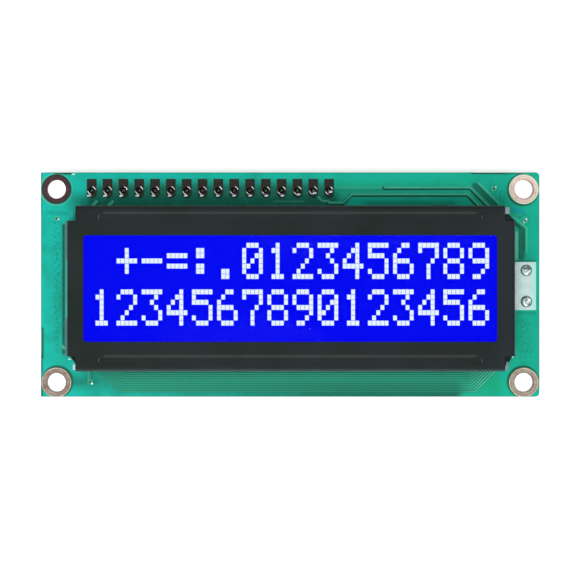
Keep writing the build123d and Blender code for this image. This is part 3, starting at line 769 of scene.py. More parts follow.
def ring_lip(corner, material):
    """The pale rounded rim round a mounting ring, cut where the ring is trimmed at the board's edge."""
    low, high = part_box(f"mounting_ring_{corner}")
    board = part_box("circuit_board")
    radius = (high.x - low.x) / 2
    centre_y = low.y + radius if "upper" in corner else high.y - radius
    thickness = {"upper_right": 0.15, "lower_right": 0.13, "lower_left": 0.09}[corner] * MM
    clear_selection()
    bpy.ops.mesh.primitive_torus_add(
        major_segments=72,
        minor_segments=10,
        major_radius=radius - thickness,
        minor_radius=thickness,
        location=((low.x + high.x) / 2, centre_y, board[1].z + 0.04 * MM),
    )
    piece = bpy.context.active_object
    piece.name = f"ring_lip_{corner}"
    apply_place(piece)
    bpy.ops.object.mode_set(mode="EDIT")
    bpy.ops.mesh.select_all(action="SELECT")
    edge = board[0].y + 0.05 * MM
    bpy.ops.mesh.bisect(plane_co=(0, edge, 0), plane_no=(0, 1, 0), clear_inner=True, use_fill=True, threshold=1e-7)
    bpy.ops.object.mode_set(mode="OBJECT")
    finish_piece(piece, material, 60)


def ring_finish(settings, corner):
    """Tinned copper with stains, and painted shade in brown at the mouth of the hole."""
    material, tree, shader = material_base(f"tinned_ring_{corner}")
    # The lighter colours of the right rings are painted reflections
    bright, stain, most = {
        "upper_right": (settings.ring_light_reflection, settings.ring_blush, 1.0),
        "lower_right": (settings.ring_grey_reflection, settings.ring_stain, 0.7),
        "lower_left": (settings.ring, settings.ring_stain, 1.0),
    }[corner]
    patches = between(tree, noise(tree, 0.8 * MM, 5.0), 0.3, 0.75, 0.0, most)
    colour = two_tone(tree, patches, bright, stain)
    # Painted shade at the mouth of the hole, set a little off the centre so that it is deeper on one side
    centre = ring_centre(corner, (0.06, -0.06))
    spot = vector(tree, "MULTIPLY", place(tree), (1, 1, 0))
    mouth = combine(tree, "MULTIPLY", near_line(tree, spot, centre, centre, 1.62, 0.1), 0.6)
    tree.links.new(two_tone(tree, mouth, colour, settings.ring_mouth_shade), shader.inputs["Base Color"])
    skin = noise(tree, 0.3 * MM, 3.0)
    tree.links.new(between(tree, skin, 0.3, 0.7, 0.35, 0.55), shader.inputs["Roughness"])
    add_bump(tree, shader, skin, 0.02 * MM)
    shader.inputs["Metallic"].default_value = 0.2
    shader.inputs["Specular IOR Level"].default_value = 0.3
    return material


def dark_reflection_ring_finish(settings):
    """Plating painted dark as a painted reflection of dark surroundings, with redder stains and a dark outer edge."""
    material, tree, shader = material_base("ring_dark_reflection")
    patches = between(tree, noise(tree, 0.6 * MM, 5.0), 0.3, 0.7)
    colour = two_tone(tree, patches, settings.ring_dark_reflection, settings.ring_dark_reflection_stain)
    low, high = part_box("mounting_ring_upper_left")
    centre = ring_centre("upper_left")
    spot = vector(tree, "MULTIPLY", place(tree), (1, 1, 0))
    inside = near_line(tree, spot, centre, centre, (high.x - low.x) / 2 / MM - 0.32, 0.16)
    edge = combine(tree, "MULTIPLY", combine(tree, "SUBTRACT", 1.0, inside), 0.85)
    tree.links.new(two_tone(tree, edge, colour, settings.ring_dark_reflection_edge), shader.inputs["Base Color"])
    skin = noise(tree, 0.2 * MM, 3.0)
    tree.links.new(between(tree, skin, 0.3, 0.7, 0.4, 0.6), shader.inputs["Roughness"])
    add_bump(tree, shader, skin, 0.02 * MM)
    shader.inputs["Specular IOR Level"].default_value = 0.15
    return material


class DISPLAY_OT_rings(bpy.types.Operator):
    """Finish the four plated mounting rings"""

    bl_idname = "display.rings"
    bl_label = "Mounting rings"

    def execute(self, context):
        settings = context.scene.display_board
        lip = mottled("ring_lip", settings.ring_lip, settings.ring, 0.5 * MM, (0.25, 0.4), 0.01 * MM, metallic=0.3)
        pale = mottled("ring_lip_light_reflection", settings.ring_lip_light_reflection, settings.ring_light_reflection, 0.5 * MM, (0.25, 0.4), 0.01 * MM)
        for corner, edge in (("lower_left", lip), ("lower_right", lip), ("upper_right", pale)):
            dress(f"mounting_ring_{corner}", ring_finish(settings, corner))
            ring_lip(corner, edge)
        dress("mounting_ring_upper_left", dark_reflection_ring_finish(settings))
        return {"FINISHED"}


HOLE_COUNT = 16


def land_finish(settings):
    """Land painted dark above its hole as a painted reflection of dark surroundings, and under greenish flux below it.
    """
    material, tree, shader = material_base("header_land")
    patches = between(tree, noise(tree, 0.35 * MM, 5.0), 0.4, 0.75)
    dark_reflection = two_tone(tree, patches, settings.pad, settings.pad_stain)
    low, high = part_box("header_solder_rims")
    middle = (low.y + high.y) / 2
    fluxed = between(tree, along(tree, "Y"), middle - 0.25 * MM, middle - 0.6 * MM, 0.0, 0.85)
    tree.links.new(two_tone(tree, fluxed, dark_reflection, settings.flux), shader.inputs["Base Color"])
    skin = noise(tree, 0.15 * MM, 3.0)
    tree.links.new(between(tree, skin, 0.3, 0.7, 0.4, 0.65), shader.inputs["Roughness"])
    add_bump(tree, shader, skin, 0.01 * MM)
    shader.inputs["Specular IOR Level"].default_value = 0.15
    return material


def rim_finish(settings):
    """Solder on each rim, with painted highlights on two opposite quarters and painted shade on the other two."""
    material, tree, shader = material_base("header_solder")
    low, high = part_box("header_solder_rims")
    middle = (low.y + high.y) / 2
    radius = (high.y - low.y) / 2
    pitch = (high.x - low.x - 2 * radius) / (HOLE_COUNT - 1)
    across = tree.nodes.new("ShaderNodeMath")
    across.operation = "WRAP"
    tree.links.new(combine(tree, "SUBTRACT", along(tree, "X"), low.x + radius), across.inputs[0])
    across.inputs[1].default_value = pitch / 2
    across.inputs[2].default_value = -pitch / 2
    upward = combine(tree, "SUBTRACT", along(tree, "Y"), middle)
    quarter = combine(tree, "MULTIPLY", combine(tree, "DIVIDE", across.outputs[0], radius), combine(tree, "DIVIDE", upward, radius))
    patches = between(tree, noise(tree, 0.3 * MM, 3.0), 0.3, 0.7, -0.15, 0.15)
    # Painted highlights on the upper right and lower left quarters of each rim, painted shade on the other two
    lit = between(tree, combine(tree, "ADD", quarter, patches), 0.12, 0.3, 0.0, 1.0)
    tree.links.new(two_tone(tree, lit, settings.tin_shade, settings.tin), shader.inputs["Base Color"])
    skin = noise(tree, 0.12 * MM, 3.0)
    tree.links.new(between(tree, skin, 0.3, 0.7, 0.2, 0.4), shader.inputs["Roughness"])
    add_bump(tree, shader, skin, 0.01 * MM)
    shader.inputs["Metallic"].default_value = 0.7
    return material


# How far the drops of the last holes sit above the row of the others, in millimetres
DROP_LIFTS = {13: 0.2, 14: 0.42, 15: 0.62}


def header_joints(rim_material, drop_material):
    """The bright solder at each header hole: a thin uneven rim, and a drop that moves along from hole to hole."""
    low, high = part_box("header_solder_rims")
    board_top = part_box("circuit_board")[1].z
    radius = (high.y - low.y) / 2
    bead = 0.085 * MM
    first = Vector((low.x + radius, (low.y + high.y) / 2, board_top + 0.05 * MM))
    clear_selection()
    bpy.ops.mesh.primitive_torus_add(
        major_segments=28, minor_segments=8, major_radius=radius - bead, minor_radius=bead, location=first
    )
    rim = bpy.context.active_object
    apply_place(rim)
    pick_vertices(rim, lambda spot: (spot - first).x + (first - spot).y > 0.4 * MM)
    bpy.ops.transform.resize(value=(1, 1, 0.35), center_override=first)
    bpy.ops.object.mode_set(mode="OBJECT")
    clear_selection()
    drop_spot = first + Vector((-0.4, -0.87, 0)) * MM
    bpy.ops.mesh.primitive_uv_sphere_add(segments=18, ring_count=10, radius=0.31 * MM, location=drop_spot)
    drop = bpy.context.active_object
    drop.scale = (1.15, 0.8, 0.55)
    apply_place(drop)
    bpy.ops.object.mode_set(mode="EDIT")
    bpy.ops.mesh.select_all(action="SELECT")
    bpy.ops.transform.vertex_random(offset=0.02 * MM, normal=1.0, uniform=0.0, seed=4)
    cut_below(board_top + 0.03 * MM)
    bpy.ops.object.mode_set(mode="OBJECT")
    pitch = (high.x - low.x - 2 * radius) / (HOLE_COUNT - 1)
    rims, drops = [], []
    for index in range(HOLE_COUNT):
        shift = Vector((index * pitch, 0, 0))
        rims.append(copy_of(rim, shift))
        drift = Vector((index * 0.045, DROP_LIFTS.get(index, 0.0), 0)) * MM
        drops.append(copy_of(drop, shift + drift))
    for start in (rim, drop):
        bpy.data.objects.remove(start)
    rims = join(rims, "header_rims")
    finish_piece(rims, rim_material, 60)
    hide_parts("header_solder_rims")
    drops = join(drops, "header_drops")
    finish_piece(drops, drop_material, 60)
    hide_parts("header_solder_drops")


def hole_shade_collars(material):
    """A dark collar in the mouth of each header hole, a painted shade for the inside of the hole, which leaves the
    middle of the hole open.
    """
    low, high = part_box("header_solder_rims")
    board_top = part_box("circuit_board")[1].z
    radius = (high.y - low.y) / 2
    pitch = (high.x - low.x - 2 * radius) / (HOLE_COUNT - 1)
    clear_selection()
    bpy.ops.mesh.primitive_cone_add(
        vertices=28,
        radius1=0.26 * MM,
        radius2=0.49 * MM,
        depth=0.45 * MM,
        end_fill_type="NOTHING",
        location=(low.x + radius, (low.y + high.y) / 2, board_top - 0.35 * MM),
    )
    collar = bpy.context.active_object
    shell = collar.modifiers.new("Thickness", "SOLIDIFY")
    shell.thickness = 0.06 * MM
    shell.offset = 0.0
    bpy.ops.object.modifier_apply(modifier=shell.name)
    apply_place(collar)
    pieces = [copy_of(collar, Vector((index * pitch, 0, 0))) for index in range(HOLE_COUNT)]
    bpy.data.objects.remove(collar)
    finish_piece(join(pieces, "header_hole_shade"), material, 60)


class DISPLAY_OT_header(bpy.types.Operator):
    """Finish the sixteen header holes and their solder"""

    bl_idname = "display.header"
    bl_label = "Header holes"

    def execute(self, context):
        settings = context.scene.display_board
        dress("header_pads", land_finish(settings))
        drop = mottled("drop_tin", settings.tin, linear(150, 150, 146), 0.25 * MM, (0.2, 0.35), 0.01 * MM, 0.7)
        header_joints(rim_finish(settings), drop)
        hole_shade_collars(mottled("hole_shade", settings.hole_shade, settings.pad_stain, 0.25 * MM, (0.5, 0.7), 0.01 * MM, shine=0.1))
        return {"FINISHED"}


# Bezel


# Painted highlights on the crests of the pressed ribs in millimetres, as in the board's tables
RIB_CREST_HIGHLIGHTS = (
    ((-29.2, 11.32), (29.2, 11.32), 0.2, 0.12, 0.12),
    ((-29.2, -11.28), (29.2, -11.28), 0.2, 0.12, 0.15),
)


def bezel_finish(settings):
    """Black paint with an orange-peel skin, and painted highlights along the left and lower bends, on the ribs and on
    their crests.
    """
    material, tree, shader = material_base("black_painted_steel")
    patches = between(tree, noise(tree, 9 * MM, 3.0), 0.35, 0.65)
    paint = two_tone(tree, patches, settings.paint, settings.paint_light)
    far_end = between(tree, along(tree, "X"), 31 * MM, 35 * MM, 0.0, 0.7)
    paint = two_tone(tree, far_end, paint, settings.paint_blue)
    uneven = between(tree, noise(tree, 2.5 * MM, 4.0), 0.3, 0.7, 0.7, 1.0)
    sloping = combine(
        tree, "MULTIPLY", between(tree, facing(tree), 0.98, 0.9), between(tree, facing(tree), 0.15, 0.45)
    )
    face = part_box("bezel")[1].z - settings.rib_height
    on_rib = between(tree, along(tree, "Z"), face - 0.01 * MM, face + 0.01 * MM)
    on_bend = combine(tree, "SUBTRACT", 1.0, on_rib)
    left = between(tree, slope(tree, "X"), -0.25, -0.6)
    lower = between(tree, slope(tree, "Y"), -0.25, -0.6, 0.0, 0.3)
    bends = combine(tree, "MULTIPLY", combine(tree, "MAXIMUM", left, lower), on_bend)
    rib_upper = between(tree, slope(tree, "Y"), 0.3, 0.6, 0.0, 0.35)
    rib_end = between(tree, combine(tree, "ABSOLUTE", slope(tree, "X"), 0), 0.55, 0.68, 0.0, 0.9)
    ribs = combine(tree, "MULTIPLY", combine(tree, "MAXIMUM", rib_upper, rib_end), on_rib)
    # Painted highlights on the left and lower bends, on the ribs' upper flanks and on their ends
    highlight_share = combine(tree, "MULTIPLY", combine(tree, "MAXIMUM", bends, ribs), combine(tree, "MULTIPLY", sloping, uneven))
    spot = vector(tree, "MULTIPLY", place(tree), (1, 1, 0))
    crests = combine(tree, "MULTIPLY", painted(tree, spot, RIB_CREST_HIGHLIGHTS), uneven)
    offset = combine(tree, "ABSOLUTE", combine(tree, "ADD", along(tree, "Y"), 0.75 * MM), 0)
    in_middle = combine(tree, "MULTIPLY", between(tree, offset, 4.8 * MM, 4.3 * MM), left)
    bezel_highlight = two_tone(tree, in_middle, settings.bezel_highlight, settings.bend_green_reflection)
    highlighted = two_tone(tree, highlight_share, paint, bezel_highlight)
    tree.links.new(two_tone(tree, crests, highlighted, settings.crest), shader.inputs["Base Color"])
    skin = noise(tree, 0.22 * MM, 2.0)
    tree.links.new(between(tree, skin, 0.3, 0.7, 0.42, 0.56), shader.inputs["Roughness"])
    add_bump(tree, shader, skin, 0.006 * MM)
    shader.inputs["Specular IOR Level"].default_value = 0.1
    return material


def corner_ear(settings, name, side, upright, material, reach, length, turn=0.0):
    """A tongue of bare cut steel beside a corner notch, bent down from the bezel's face; its pale colour is a painted
    highlight, the glint at the notch.
    """
    low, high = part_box("bezel")
    face = high.z - settings.rib_height
    notch_x = high.x - settings.notch
    edge_y = (low.y + high.y) / 2 + upright * (settings.width / 2 - 0.25 * MM)
    start = side * (notch_x - 0.1 * MM)
    width = reach + 0.1 * MM
    clear_selection()
    centre = Vector((start + side * width / 2, edge_y - upright * length / 2, face - 0.2 * MM))
    bpy.ops.mesh.primitive_cube_add(size=1, location=centre)
    piece = bpy.context.active_object
    piece.name = name
    piece.scale = (width, length, 0.24 * MM)
    apply_place(piece)
    bpy.ops.object.mode_set(mode="EDIT")
    bpy.ops.mesh.select_all(action="SELECT")
    bpy.ops.mesh.subdivide(number_cuts=4)
    bpy.ops.object.mode_set(mode="OBJECT")
    for share in (0.3, 0.5, 0.7, 0.9):
        pick_vertices(piece, lambda spot: abs(spot.x - start) > share * width)
        bpy.ops.transform.translate(value=(0, 0, -0.08 * MM * share))
        bpy.ops.object.mode_set(mode="OBJECT")
    pick_vertices(piece, lambda spot: abs(spot.x - start) > 0.9 * width)
    bpy.ops.transform.resize(value=(1, 0.75, 1))
    bpy.ops.object.mode_set(mode="OBJECT")
    bevel = piece.modifiers.new("Eased edges", "BEVEL")
    bevel.width = 0.035 * MM
    bevel.segments = 2
    bpy.ops.object.modifier_apply(modifier=bevel.name)
    clear_selection()
    piece.select_set(True)
    pivot = Vector((centre.x, edge_y, face))
    bpy.ops.transform.rotate(value=math.radians(turn), orient_axis="Z", center_override=pivot)
    finish_piece(piece, material, 40)


def corner_web(settings, name, side, upright, material, reach_x, reach_y):
    """A dark web across the inner corner of a notch, its outer side on a slant. It stands for the folded corner,
    painted darker than the bezel as painted shade.
    """
    low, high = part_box("bezel")
    face = high.z - settings.rib_height
    inner_y = (low.y + high.y) / 2 + upright * (settings.width / 2 - settings.notch_width)
    inner = Vector((side * (high.x - settings.notch), inner_y, 0))
    hold = 0.1 * MM
    size = Vector((reach_x + hold, reach_y + hold, 0.25 * MM))
    middle = inner + Vector((side * (size.x / 2 - hold), upright * (size.y / 2 - hold), face - 0.42 * MM))
    clear_selection()
    bpy.ops.mesh.primitive_cube_add(size=1, location=middle)
    piece = bpy.context.active_object
    piece.name = name
    piece.scale = size
    apply_place(piece)
    bpy.ops.object.mode_set(mode="EDIT")
    bpy.ops.mesh.select_all(action="SELECT")
    bpy.ops.mesh.bisect(
        plane_co=inner + Vector((side * reach_x, 0, 0)),
        plane_no=Vector((side * reach_y, upright * reach_x, 0)).normalized(),
        clear_outer=True,
        use_fill=True,
        threshold=1e-7,
    )
    bpy.ops.object.mode_set(mode="OBJECT")
    bevel = piece.modifiers.new("Eased edges", "BEVEL")
    bevel.width = 0.04 * MM
    bevel.segments = 2
    bpy.ops.object.modifier_apply(modifier=bevel.name)
    finish_piece(piece, material, 40)


class DISPLAY_OT_bezel(bpy.types.Operator):
    """Finish the folded steel bezel with smooth bends"""

    bl_idname = "display.bezel"
    bl_label = "Bezel"

    def execute(self, context):
        settings = context.scene.display_bezel
        smooth_copy("bezel", "bezel_shell", bezel_finish(settings))
        # Painted shade: the webs are darker than the bezel's paint
        web = mottled("web_shade_paint", linear(10, 16, 16), settings.paint, 0.6 * MM, (0.45, 0.6), 0.01 * MM, shine=0.1)
        corner_web(settings, "corner_web_upper_right", 1, 1, web, 1.5 * MM, 1.6 * MM)
        corner_web(settings, "corner_web_lower_right", 1, -1, web, 1.15 * MM, 2.1 * MM)
        corner_web(settings, "corner_web_lower_left", -1, -1, web, 0.85 * MM, 1.15 * MM)
        # Painted highlights: the pale ears stand in for the glints at the notch corners
        cut = mottled(
            "cut_steel_glint", settings.steel, linear(110, 126, 134), 0.4 * MM, (0.3, 0.5), 0.01 * MM, metallic=0.5
        )
        dull = mottled("dull_steel_glint", linear(60, 92, 98), linear(140, 166, 174), 0.6 * MM, (0.4, 0.6), 0.01 * MM, 0.2)
        corner_ear(settings, "corner_ear_upper_right", 1, 1, dull, 0.75 * MM, 1.1 * MM)
        corner_ear(settings, "corner_ear_lower_right", 1, -1, dull, 0.4 * MM, 1.3 * MM, 15)
        corner_ear(settings, "corner_ear_lower_left", -1, -1, cut, 0.4 * MM, 0.9 * MM)
        return {"FINISHED"}


# Display cell


def field_finish(settings):
    """Blue field that glows from the backlight, a little uneven."""
    material, tree, shader = material_base("blue_field")
    uneven = between(tree, noise(tree, 14 * MM, 2.0), 0.3, 0.7)
    bright = settings.field
    dim = tuple(level * 0.96 for level in bright)
    tree.links.new(two_tone(tree, uneven, bright, dim), shader.inputs["Emission Color"])
    shader.inputs["Emission Strength"].default_value = settings.brightness
    shader.inputs["Base Color"].default_value = (0.0, 0.0, 0.01, 1.0)
    tree.links.new(between(tree, uneven, 0.0, 1.0, 0.45, 0.6), shader.inputs["Roughness"])
    add_bump(tree, shader, noise(tree, 0.4 * MM, 2.0), 0.002 * MM)
    shader.inputs["Specular IOR Level"].default_value = 0.0
    return material


def dot_finish(settings):
    """A lit dot: pale, and a little dimmer here and there."""
    material, tree, shader = material_base("lit_dot")
    uneven = between(tree, noise(tree, 0.5 * MM, 3.0), 0.3, 0.7)
    dim = tuple(level * 0.93 for level in settings.dot)
    tree.links.new(two_tone(tree, uneven, settings.dot, dim), shader.inputs["Emission Color"])
    shader.inputs["Emission Strength"].default_value = settings.dot_brightness
    shader.inputs["Base Color"].default_value = (0.02, 0.02, 0.02, 1.0)
    tree.links.new(between(tree, uneven, 0.0, 1.0, 0.4, 0.6), shader.inputs["Roughness"])
    add_bump(tree, shader, uneven, 0.002 * MM)
    shader.inputs["Specular IOR Level"].default_value = 0.0
    return material


def clear_finish(name, colour, solidity, roughness, shine):
    """Clear glass or film, which shows what is behind it and adds a faint sheen."""
    material, tree, shader = material_base(name)
    smear = noise(tree, 6 * MM, 4.0)
    low, high = roughness
    tree.links.new(between(tree, smear, 0.3, 0.7, low, high), shader.inputs["Roughness"])
    add_bump(tree, shader, smear, 0.004 * MM)
    shader.inputs["Base Color"].default_value = (*colour[:3], 1.0)
    shader.inputs["Alpha"].default_value = solidity
    shader.inputs["Specular IOR Level"].default_value = shine
    return material


def front_pane(material):
    """The front glass, its underside lifted a hair off the lit dots so that the two faces never coincide."""
    pane = plain_copy("front_glass", "front_glass_pane")
    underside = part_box("front_glass")[0].z
    pick_vertices(pane, lambda spot: spot.z < underside + 0.01 * MM)
    bpy.ops.transform.translate(value=(0, 0, 0.01 * MM))
    bpy.ops.object.mode_set(mode="OBJECT")
    bevel = pane.modifiers.new("Eased edges", "BEVEL")
    bevel.width = 0.03 * MM
    bevel.segments = 2
    bevel.limit_method = "ANGLE"
    bpy.ops.object.modifier_apply(modifier=bevel.name)
    finish_piece(pane, material)
    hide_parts("front_glass")


class DISPLAY_OT_cell(bpy.types.Operator):
    """Light the display cell behind its glass and films"""

    bl_idname = "display.cell"
    bl_label = "Display cell"

    def execute(self, context):
        settings = context.scene.display_cell
        dress("liquid_crystal_layer", field_finish(settings))
        dress("lit_dots", dot_finish(settings))
        film = clear_finish("polarizing_film", settings.film, 0.04, (0.2, 0.35), 0.1)
        glass = clear_finish("clear_glass", settings.glass, 0.05, (0.02, 0.06), 0.1)
        dress("front_polarizer", film)
        front_pane(glass)
        dress("rear_glass", glass)
        dress("rear_polarizer", mottled("rear_film", settings.film, linear(10, 12, 60), 4 * MM, (0.2, 0.3), 0.004 * MM))
        resin = mottled("seal_resin", settings.seal, linear(180, 172, 140), 0.8 * MM, (0.3, 0.5), 0.01 * MM)
        dress("cell_seal", resin)
        dress("fill_port_plug", resin)
        return {"FINISHED"}


# Backlight and connectors


def solder_finish(settings):
    """Bright solder with dark streaks, partly flux and partly painted dark reflections, and painted shade at the foot
    where its sides are steep.
    """
    material, tree, shader = material_base("lead_solder")
    swirl = noise(tree, 0.75 * MM, 2.0)
    streaks = between(tree, swirl, 0.5, 0.6, 0.0, 0.85)
    low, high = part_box("backlight_solder_front")
    radius = (high.x - low.x) / 2
    spot = vector(tree, "MULTIPLY", place(tree), (1, 1, 0))
    middles = [((low.x + radius) / MM, y / MM) for y in (high.y - radius, low.y + radius)]
    crowns = [near_line(tree, spot, middle, middle, 0.8 * radius / MM, 0.08) for middle in middles]
    # Painted shade: the solder grows dark outside the crowns, towards its foot
    rims = combine(tree, "MULTIPLY", combine(tree, "SUBTRACT", 1.0, any_of(tree, crowns)), 0.85)
    dark = combine(tree, "MAXIMUM", streaks, rims)
    tree.links.new(two_tone(tree, dark, settings.solder, settings.solder_dark), shader.inputs["Base Color"])
    tree.links.new(between(tree, swirl, 0.3, 0.7, 0.25, 0.4), shader.inputs["Roughness"])
    add_bump(tree, shader, swirl, 0.03 * MM)
    shader.inputs["Metallic"].default_value = 0.45
    return material


def lead_board_finish(settings):
    """White lead board, brighter along its right edge, and with painted shade in grey along its lower edge."""
    material, tree, shader = material_base("white_board")
    patches = between(tree, noise(tree, 1.5 * MM, 4.0), 0.3, 0.7)
    colour = two_tone(tree, patches, settings.board, settings.board_shade)
    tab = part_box("backlight_board")
    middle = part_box("backlight_solder_front")
    edge = tab[1].x
    foot = middle[0].y - 0.75 * MM
    right = between(tree, along(tree, "X"), edge - 0.7 * MM, edge - 0.35 * MM, 0.0, 0.6)
    colour = two_tone(tree, right, colour, settings.board_edge)
    # Painted shade along the lower edge
    lower = between(tree, along(tree, "Y"), foot + 0.35 * MM, foot, 0.0, 0.6)
    colour = two_tone(tree, lower, colour, settings.board_foot_shade)
    tree.links.new(colour, shader.inputs["Base Color"])
    skin = noise(tree, 0.5 * MM, 3.0)
    tree.links.new(between(tree, skin, 0.3, 0.7, 0.4, 0.6), shader.inputs["Roughness"])
    add_bump(tree, shader, skin, 0.01 * MM)
    shader.inputs["Specular IOR Level"].default_value = 0.3
    return material


def lead_joints(material):
    """The two lumps of solder on the lead board, each with a ring at its foot, a pit and a clipped lead."""
    low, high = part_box("backlight_solder_front")
    foot = low.z
    radius = (high.x - low.x) / 2
    height = high.z - low.z
    centre = Vector(((low.x + high.x) / 2, high.y - radius, foot))
    clear_selection()
    bpy.ops.mesh.primitive_uv_sphere_add(segments=40, ring_count=24, radius=radius * 0.94, location=centre)
    lump = bpy.context.active_object
    lump.scale = (1, 1, height * 0.86 / (radius * 0.94))
    apply_place(lump)
    pit = centre + Vector((-0.22, 0.12, 0)) * MM
    for reach, depth in ((0.5, 0.07), (0.34, 0.1), (0.2, 0.05)):
        pick_vertices(lump, lambda spot: spot.z > foot and (spot - pit).xy.length < reach * MM)
        bpy.ops.transform.translate(value=(0, 0, -depth * MM))
        bpy.ops.object.mode_set(mode="OBJECT")
    bpy.ops.object.mode_set(mode="EDIT")
    bpy.ops.mesh.select_all(action="SELECT")
    bpy.ops.transform.vertex_random(offset=0.015 * MM, normal=1.0, uniform=0.0, seed=2)
    bpy.ops.mesh.vertices_smooth(factor=0.5, repeat=2)
    cut_below(foot - 0.01 * MM)
    bpy.ops.object.mode_set(mode="OBJECT")
    clear_selection()
    bpy.ops.mesh.primitive_torus_add(
        major_segments=48,
        minor_segments=8,
        major_radius=radius * 0.93,
        minor_radius=radius * 0.07,
        location=centre + Vector((0, 0, 0.02 * MM)),
    )
    ring = bpy.context.active_object
    clear_selection()
    stub_spot = centre + Vector((-0.2 * MM, 0.1 * MM, height * 0.55))
    bpy.ops.mesh.primitive_cylinder_add(vertices=24, radius=0.17 * MM, depth=height * 0.7, location=stub_spot)
    stub = bpy.context.active_object
    apply_place(stub)
    pick_vertices(stub, lambda spot: spot.z > stub_spot.z)
    bpy.ops.transform.resize(value=(0.8, 1.15, 1))
    bpy.ops.mesh.bevel(offset=0.04 * MM, segments=2)
    bpy.ops.object.mode_set(mode="OBJECT")
    for part in (ring, stub):
        apply_place(part)
    upper = join([lump, ring, stub], "lead_joint_upper")
    lower = copy_of(upper, (0, low.y + radius - centre.y, 0))
    lower.name = "lead_joint_lower"
    turn = Vector((centre.x, low.y + radius, foot))
    bpy.ops.transform.rotate(value=math.radians(140), orient_axis="Z", center_override=turn)
    for joint in (upper, lower):
        finish_piece(joint, material, 60)
    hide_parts("backlight_solder_front")


class DISPLAY_OT_backlight(bpy.types.Operator):
    """Finish the backlight, its board and its soldered leads"""

    bl_idname = "display.backlight"
    bl_label = "Backlight"

    def execute(self, context):
        settings = context.scene.display_backlight
        dress("backlight_board", lead_board_finish(settings))
        dress("reflector_frame", mottled("white_frame", settings.frame, linear(214, 216, 210), 2 * MM, (0.4, 0.6), 0.01 * MM))
        dress("diffuser_plate", mottled("milky_diffuser", settings.diffuser, linear(206, 214, 226), 3 * MM, (0.3, 0.5), 0.01 * MM))
        dress("backlight_leds", mottled("led_package", linear(236, 232, 200), linear(220, 200, 120), 0.6 * MM, (0.3, 0.5), 0.01 * MM))
        solder = solder_finish(settings)
        lead_joints(solder)
        dress("backlight_solder_back", solder)
        dress("backlight_leads", mottled("tinned_wire", settings.solder, linear(150, 156, 156), 0.4 * MM, (0.2, 0.3), 0.01 * MM, 1.0))
        return {"FINISHED"}


class DISPLAY_OT_back(bpy.types.Operator):
    """Finish the elastomer strips and the parts on the board's back"""

    bl_idname = "display.back"
    bl_label = "Back parts"

    def execute(self, context):
        settings = context.scene.display_back
        rubber = mottled("elastomer", settings.elastomer, linear(60, 40, 44), 0.2 * MM, (0.5, 0.7), 0.01 * MM, stretch=(1, 0.05, 0.05), contrast=0.08)
        dress("elastomer_connector_upper", rubber)
        dress("elastomer_connector_lower", rubber)
        resin = mottled("covering_resin", settings.resin, linear(34, 34, 38), 2.5 * MM, (0.22, 0.4), 0.06 * MM)
        for name in ("controller", "driver"):
            smooth_copy(f"{name}_cover", f"{name}_resin_cover", resin)
        silicon = mottled("silicon", settings.silicon, linear(60, 64, 80), 0.3 * MM, (0.1, 0.25), 0.004 * MM, 0.4)
        dress("controller_die", silicon)
        dress("driver_die", silicon)
        tin = mottled("end_cap_tin", linear(206, 210, 208), linear(160, 162, 158), 0.3 * MM, (0.25, 0.4), 0.01 * MM, 0.9)
        dress("resistor_end_caps", tin)
        dress("capacitor_end_caps", tin)
        dress("chip_resistors", mottled("resistor_body", settings.resistor, linear(44, 44, 50), 0.4 * MM, (0.3, 0.5), 0.008 * MM))
        dress("chip_capacitors", mottled("capacitor_body", settings.capacitor, linear(150, 116, 80), 0.4 * MM, (0.35, 0.55), 0.008 * MM))
        return {"FINISHED"}


# Stage


def floor_finish(settings):
    """Pale matt floor that keeps the shadow, and reaches white in the open, and through the mounting holes by painted
    pools of light under them.
    """
    material, tree, shader = material_base("pale_floor")
    shader.inputs["Base Color"].default_value = (*settings.floor_colour[:3], 1.0)
    shader.inputs["Roughness"].default_value = 0.9
    shader.inputs["Specular IOR Level"].default_value = 0.0
    light = tree.nodes.new("ShaderNodeLightPath")
    seen = combine(tree, "MAXIMUM", light.outputs["Is Camera Ray"], light.outputs["Is Glossy Ray"])
    seen = combine(tree, "MAXIMUM", seen, light.outputs["Is Transmission Ray"])
    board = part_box("circuit_board")[1]
    spot = vector(tree, "MULTIPLY", place(tree), (1, 1, 0))
    beyond = [
        between(tree, combine(tree, "ABSOLUTE", along(tree, axis), 0), reach - 1.2 * MM, reach - 0.2 * MM)
        for axis, reach in (("X", board.x), ("Y", board.y))
    ]
    glow = combine(tree, "MULTIPLY", any_of(tree, beyond), settings.floor_glow)
    # Painted light: pools of glow on the floor under the mounting holes
    for name in ("upper_left", "upper_right", "lower_left", "lower_right"):
        centre = ring_centre(name)
        patch = near_line(tree, spot, centre, centre, 1.95, 0.3)
        glow = combine(tree, "MAXIMUM", glow, combine(tree, "MULTIPLY", patch, settings.hole_light_pool))
    tree.links.new(combine(tree, "MULTIPLY", seen, glow), shader.inputs["Emission Strength"])
    shader.inputs["Emission Color"].default_value = (1.0, 1.0, 1.0, 1.0)
    return material


def light_world(scene, strength):
    """Even light from all round. What is seen directly or in a mirror is white."""
    world = bpy.data.worlds.new("studio")
    world.use_nodes = True
    scene.world = world
    tree = world.node_tree
    background = tree.nodes["Background"]
    background.inputs["Color"].default_value = (1.0, 1.0, 1.0, 1.0)
    light = tree.nodes.new("ShaderNodeLightPath")
    seen = combine(tree, "MAXIMUM", light.outputs["Is Camera Ray"], light.outputs["Is Glossy Ray"])
    seen = combine(tree, "MAXIMUM", seen, light.outputs["Is Transmission Ray"])
    tree.links.new(between(tree, seen, 0.0, 1.0, strength, 1.0), background.inputs["Strength"])


